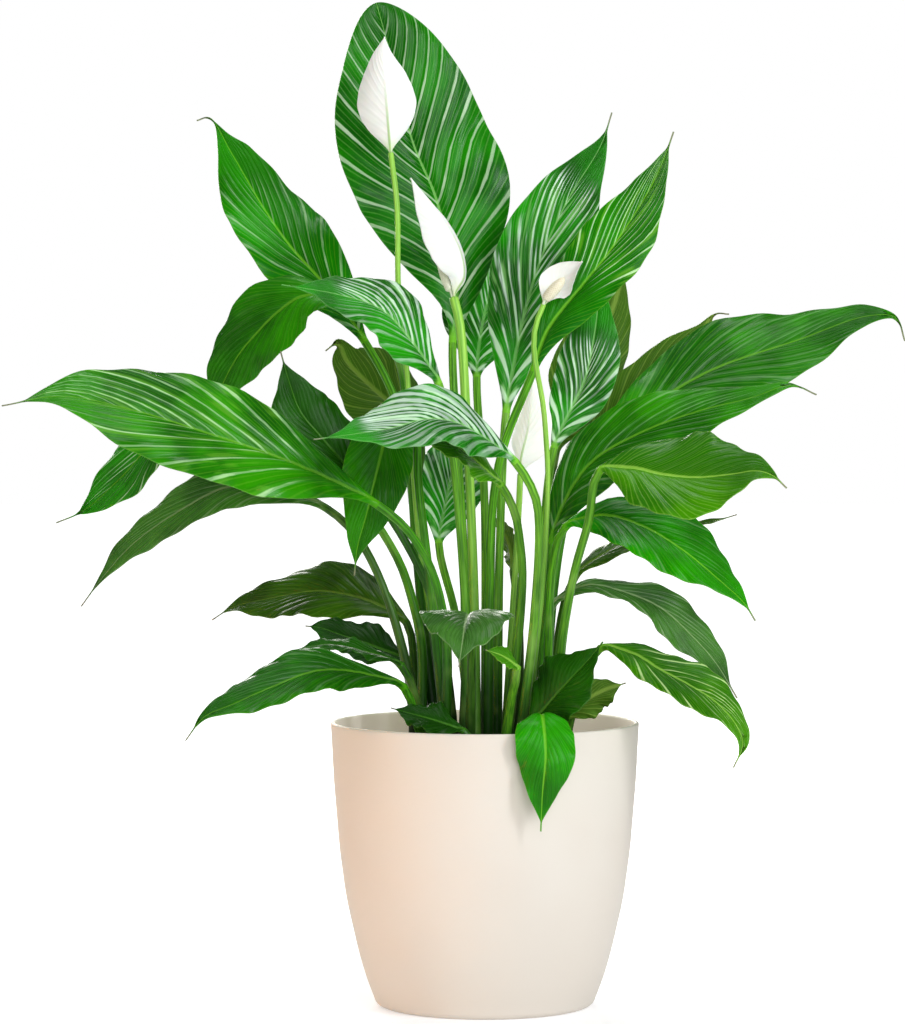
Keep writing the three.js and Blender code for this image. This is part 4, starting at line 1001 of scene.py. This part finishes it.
def make_bloom_stalk(bloom, spine):
    rings, shares = stem_rings(spine, 1.0, bloom["face"], bloom["radius"] + BLOOM_SWELL,
                               bloom["radius"], BLOOM_SWELL_SHARE)
    rings, shares = domed(rings, shares, *(ends[0] for ends in spine.at([1.0])))
    whole = np.ones(rings.shape[:2])
    marks = {"along": whole * (shares - 1)[:, None],
             "around": whole * np.linspace(0, 1, rings.shape[1]),
             "stem": rgba("#A4DC58"), "stem_dark": rgba("#5A9C2C")}
    piece = ring_object(bloom["name"] + "_stalk_skin", rings, marks, LEAF_MATERIALS[:1])
    settle(piece, bloom["name"] + "_stalk")


def make_spathe(bloom, place, along, front):
    form = {**SPATHE_FORM, **bloom}
    foot = place - front * FOOT_OFFSET
    spine = Spine([foot, foot + along * FOOT_RISE, *bloom["spathe"]])
    rings, s, u, vein, half = blade_rings(form, spine, 0.0)
    marks = {"along": s, "vein": vein, "rib_mm": np.abs(u) * half}
    petal = SPATHE_BACKLIT if "backlit" in bloom else SPATHE_PETAL
    piece = ring_object(bloom["name"] + "_spathe_skin", rings, marks, [petal])
    settle(piece, bloom["name"] + "_spathe")


# %% [markdown]
# The spike: rings round a short curve, blunt at both ends. Two sets of spirals that cross raise
# a knob for each small flower, so the knobs are real bumps and catch the light.

# %% Spikes, and all blooms
SPADIX_RADIUS = 3.6
SPADIX_NECK = 0.15  # share of the spike that is its bare foot
SPADIX_NECK_EDGE = 0.04
SPADIX_ENDS = 0.3
SPADIX_START = 0.15
SPADIX_FULLNESS = 0.4  # the lower, the more like a cylinder
SPADIX_RING_STEP = 0.4
SPADIX_SIDES = 48
FLORET_RELIEF = 0.55
FLORET_SUNK = 0.6  # share of the relief that lies under the spike's own radius
FLORET_SPACING = 1.5
FLORET_SPIRALS = 4  # each way round
YOUNG = 0.85  # how pale the spike of the bloom that is still half closed is


def spadix_knobs(turn, s, length):
    """1 on top of each small flower and 0 between them, where two sets of spirals cross."""
    climb = np.pi * length * s / FLORET_SPACING
    leftward = np.cos(FLORET_SPIRALS * turn[None] + climb[:, None])
    rightward = np.cos(FLORET_SPIRALS * turn[None] - climb[:, None])
    return np.sqrt(np.abs(leftward * rightward))


def make_spadix(bloom, place, along, front):
    foot = place + front * FOOT_OFFSET
    spine = Spine([foot, foot + along * FOOT_RISE, bloom["spadix"]])
    s = np.linspace(0, 1, int(spine.length / SPADIX_RING_STEP) + 1)
    turn = np.linspace(0, 2 * np.pi, SPADIX_SIDES, endpoint=False)
    part = np.clip((s - SPADIX_NECK) / (1 - SPADIX_NECK), 0, 1)
    wave = np.sin(np.pi * np.minimum(1, SPADIX_START + (1 - SPADIX_START) * part))
    full = SPADIX_RADIUS * np.maximum(SPADIX_ENDS, wave.clip(0) ** SPADIX_FULLNESS)
    on_spike = smooth((s - SPADIX_NECK) / SPADIX_NECK_EDGE)[:, None]
    knob = spadix_knobs(turn, s, spine.length) * on_spike
    radius = FOOT_RADIUS + (full[:, None] - FOOT_RADIUS) * on_spike
    radius = radius + FLORET_RELIEF * (knob - FLORET_SUNK * on_spike)
    centre, tangent = spine.at(s)
    up = square_to(np.broadcast_to(front, tangent.shape), tangent)
    side = np.cross(tangent, up)
    rings = (centre[:, None] - side[:, None] * (np.cos(turn)[None] * radius)[..., None]
             + up[:, None] * (np.sin(turn)[None] * radius)[..., None])
    young = np.maximum(1 - on_spike, YOUNG if "young" in bloom else 0)
    marks = {"knob": knob, "young": young * np.ones(knob.shape)}
    piece = ring_object(bloom["name"] + "_spadix_skin", rings, marks, [SPADIX_FLORETS])
    settle(piece, bloom["name"] + "_spadix")


for bloom in BLOOMS:
    stalk_line = Spine([(*bloom["root"], ROOT_Z), (*bloom["root"], SOIL_TOP), *bloom["stalk"]])
    make_bloom_stalk(bloom, stalk_line)
    top, along = (ends[0] for ends in stalk_line.at([1.0]))
    front = square_to(np.array(bloom["face"], float), along)
    make_spathe(bloom, top + along * FOOT_GAP, along, front)
    make_spadix(bloom, top + along * FOOT_GAP, along, front)
print("blooms:", len(BLOOMS))

# %% [markdown]
# The pot is injection-moulded polypropylene with a matt spark-eroded finish, cream with a touch
# of peach. It is turned round its axis from one profile: foot, bowed wall, rolled lip, inner
# wall and floor.

# %% Pot form
POT_HEIGHT = 184
POT_RIM_RADIUS = 100
POT_FOOT_RADIUS = 72
POT_WALL = 3
POT_FLOOR = 4
FOOT_ROUND = 6
POT_BOW = [(0.76, 0.08), (0.82, 0.19), (0.9, 0.38), (0.943, 0.55), (0.982, 0.8), (1, 1)]
INNER_BOW_START = 0.03
WALL_START = 10  # height where the foot's round edge has become the wall
WALL_EASE = 8  # how far up and down a bend of the wall is eased
FOOT_ARC_END = -12  # degrees from level where the foot's round edge meets the wall
POT_SIDES = 160
OUTER_RINGS, INNER_RINGS = 40, 30
ARC_STEPS = 8


def wall_radius(z):
    """Outer radius by height: straight lines through the bow's points."""
    heights = np.array([INNER_BOW_START] + [h for _, h in POT_BOW]) * POT_HEIGHT
    radii = np.array([POT_FOOT_RADIUS / POT_RIM_RADIUS] + [r for r, _ in POT_BOW])
    return np.interp(z, heights, radii) * POT_RIM_RADIUS


def smooth_wall(z):
    """The same wall with its bends eased by an average over the heights near it."""
    limit = np.minimum(POT_HEIGHT - z, np.maximum(z - INNER_BOW_START * POT_HEIGHT, 0))
    reach = np.minimum(1, limit / WALL_EASE)
    near = np.arange(-WALL_EASE, WALL_EASE + 1)
    return float(np.mean([wall_radius(z + d * reach) for d in near]))


def arc(centre_r, centre_z, radius, start, end):
    """Points of an arc in the profile, from one angle to the other, without its first."""
    angles = np.radians(np.linspace(start, end, ARC_STEPS + 1)[1:])
    return [(centre_r + radius * math.cos(a), centre_z + radius * math.sin(a)) for a in angles]


def pot_profile():
    top = POT_HEIGHT - POT_WALL / 2
    foot = [(POT_FOOT_RADIUS - FOOT_ROUND, 0)]
    foot += arc(POT_FOOT_RADIUS - FOOT_ROUND, FOOT_ROUND, FOOT_ROUND, -90, FOOT_ARC_END)
    outer = [(smooth_wall(z), z) for z in np.linspace(WALL_START, top, OUTER_RINGS)]
    lip = arc(POT_RIM_RADIUS - POT_WALL / 2, top, POT_WALL / 2, 0, 180)[:-1]
    inner = [(smooth_wall(z) - POT_WALL, z) for z in np.linspace(top, POT_FLOOR, INNER_RINGS)]
    return foot + outer + lip + inner


def turned(name, profile, material):
    turn = np.linspace(0, 2 * np.pi, POT_SIDES, endpoint=False)
    radius, height = (np.array(values)[:, None] for values in zip(*profile))
    rings = np.stack([radius * np.cos(turn), radius * np.sin(turn),
                      height + 0 * turn], axis=-1)
    inside = np.arange(len(profile)) > np.argmax(height)
    marks = {"inside": inside[:, None] * np.ones(POT_SIDES)}
    return ring_object(name, rings, marks, [material])


# %% [markdown]
# The mould's grain is about 0.1 mm wide on such a pot. It is drawn 0.7 mm wide, so that it just
# shows. Broad soft clouds are where the melt flowed together. The thin wall lets some light
# through, so its inner face, which lies in shade, is painted light: a lighter cream that glows
# very faintly.

# %% Pot
LIGHT_THROUGH_WALL = 0.25


def pot_material():
    material, tree = new_material("moulded_polypropylene_matt")
    place = add(tree, "TexCoord", out="Object")
    inside = add(tree, "Attribute", out="Fac", attribute_name="inside")
    grain = add(tree, "TexNoise", {"Vector": place, "Scale": spots_of(0.7), "Detail": 2.0})
    flow = add(tree, "TexNoise", {"Vector": place, "Scale": spots_of(110), "Detail": 2.0})
    colour = coated(tree, "#D9D3C8", [
        (add(tree, "MapRange", [flow, 0.3, 0.7], **SOFT), "#D6CEC2"),
        # painted light on the shaded inner face, here and in its faint glow below
        (inside, "#FFF8EC")])
    fill(tree, tree.nodes["Principled BSDF"], {
        "IOR": 1.49, "Base Color": colour, "Emission Color": "#F6E2CC",
        "Emission Strength": add(tree, "Math", [inside, LIGHT_THROUGH_WALL], **TIMES),
        "Roughness": add(tree, "MapRange", [grain, 0.3, 0.7, 0.5, 0.62], **SOFT),
        "Normal": add(tree, "Bump", {"Height": grain, "Strength": 0.15, "Distance": 0.0002})})
    return material


pot = turned("pot_shell", pot_profile(), pot_material())
settle(pot, "pot")
print("pot faces:", len(pot.data.polygons))

# %% [markdown]
# Potting mix: moist peat with bits of bark. Wet peat is nearly black brown, the bark is redder
# and paler, and all of it is rough and has no gloss.

# %% Soil material
def soil_material():
    material, tree = new_material("moist_potting_mix")
    place = add(tree, "TexCoord", out="Object")
    lumps = add(tree, "TexVoronoi", {"Vector": place, "Scale": spots_of(3.8)})
    grains = add(tree, "TexNoise", {"Vector": place, "Scale": spots_of(1.7), "Detail": 4.0})
    colour = coated(tree, "#1B120B", [
        (add(tree, "MapRange", [grains, 0.35, 0.7], **SOFT), "#4B3423"),
        (add(tree, "MapRange", [lumps, 0.1, 0.5, 0.45, 0.0], **SOFT), "#63472E")])
    fill(tree, tree.nodes["Principled BSDF"], {
        "Roughness": 0.9, "Base Color": colour,
        "Normal": add(tree, "Bump", {"Height": grains, "Strength": 0.9, "Distance": 0.001})})
    return material


# %% [markdown]
# Its top is a rough skin: rings of points whose heights come from noise, in hollows, lumps and
# grains. The skin runs on down along the pot's wall and closes at the bottom.

# %% Soil surface
SOIL_CLEARANCE = 0.8
SOIL_BOTTOM = POT_FLOOR + 0.3
SOIL_RELIEF = 2.2
SOIL_RINGS = 60
SOIL_SIDES = 180
SOIL_EDGE_DROP = 4
SOIL_LEVELS = 12
# Spots per millimetre, and height as a share of the relief.
HOLLOWS, LUMPS, GRAINS = (0.12, 0.9), (0.4, 0.6), (0.9, 0.6)
SOIL_SUNK = 0.8  # share of the relief that the noise is lowered by


def inner_radius(z):
    return smooth_wall(z) - POT_WALL - SOIL_CLEARANCE


def soil_height(x, y):
    spot = Vector((x, y, 0))
    hollows, lumps, grains = (noise.noise(spot * density) * height
                              for density, height in (HOLLOWS, LUMPS, GRAINS))
    return SOIL_TOP + SOIL_RELIEF * min(hollows + lumps + (abs(grains) - SOIL_SUNK), 0.0)


def soil_rings():
    turns = [2 * math.pi * j / SOIL_SIDES for j in range(SOIL_SIDES)]
    rings = []
    for i in range(1, SOIL_RINGS + 1):
        radius = inner_radius(SOIL_TOP) * i / SOIL_RINGS
        flat = [(radius * math.cos(turn), radius * math.sin(turn)) for turn in turns]
        rings.append([(x, y, soil_height(x, y)) for x, y in flat])
    for z in np.linspace(SOIL_TOP - SOIL_EDGE_DROP, SOIL_BOTTOM, SOIL_LEVELS):
        radius = inner_radius(z)
        rings.append([(radius * math.cos(turn), radius * math.sin(turn), z) for turn in turns])
    return np.array(rings)


# %% [markdown]
# Loose crumbs lie on the skin: small eight-faced bits, each stretched, dented and turned by
# seeded random draws.

# %% Crumbs, and all soil
CRUMBS = 420
CRUMB_SIZE = (0.8, 2.2)
CRUMB_STRETCH = (0.5, 1.3)
CRUMB_DENTS = (0.7, 1.2)
CRUMB_SUNK = 1.6
CRUMB_FROM_WALL = 5
CRUMB_CORNERS = np.array([(1, 0, 0), (-1, 0, 0), (0, 1, 0), (0, -1, 0), (0, 0, 1), (0, 0, -1)])
CRUMB_FACES = [(0, 2, 4), (2, 1, 4), (1, 3, 4), (3, 0, 4), (2, 0, 5), (1, 2, 5), (3, 1, 5),
               (0, 3, 5)]


def crumb():
    """The corners of one loose bit."""
    size = rng.uniform(*CRUMB_SIZE) * rng.uniform(*CRUMB_STRETCH, 3)
    from_middle = (inner_radius(SOIL_TOP) - CRUMB_FROM_WALL) * math.sqrt(rng.random())
    where = rng.uniform(0, 2 * math.pi)
    turn = rng.uniform(0, math.pi)
    x, y, z = (CRUMB_CORNERS * size * rng.uniform(*CRUMB_DENTS, (len(CRUMB_CORNERS), 1))).T
    return np.stack([
        from_middle * math.cos(where) + math.cos(turn) * x - math.sin(turn) * y,
        from_middle * math.sin(where) + math.sin(turn) * x + math.cos(turn) * y,
        SOIL_TOP - CRUMB_SUNK + z], axis=1)


def make_soil():
    rings = soil_rings()
    skin, faces = closed_skin(rings)
    crumbs = [crumb() for _ in range(CRUMBS)]
    for k in range(CRUMBS):
        start = len(skin) + k * len(CRUMB_CORNERS)
        faces += [tuple(start + corner for corner in face) for face in CRUMB_FACES]
    mesh = bpy.data.meshes.new("soil_crumbs")
    mesh.from_pydata((np.concatenate([skin, *crumbs]) * MM).tolist(), [], faces)
    mesh.materials.append(soil_material())
    piece = bpy.data.objects.new("soil_crumbs", mesh)
    bpy.context.scene.collection.objects.link(piece)
    settle(piece, "soil")
    return piece


print("soil faces:", len(make_soil().data.polygons))

# %% [markdown]
# Last, the scene is brought up to date.


bpy.context.view_layer.update()
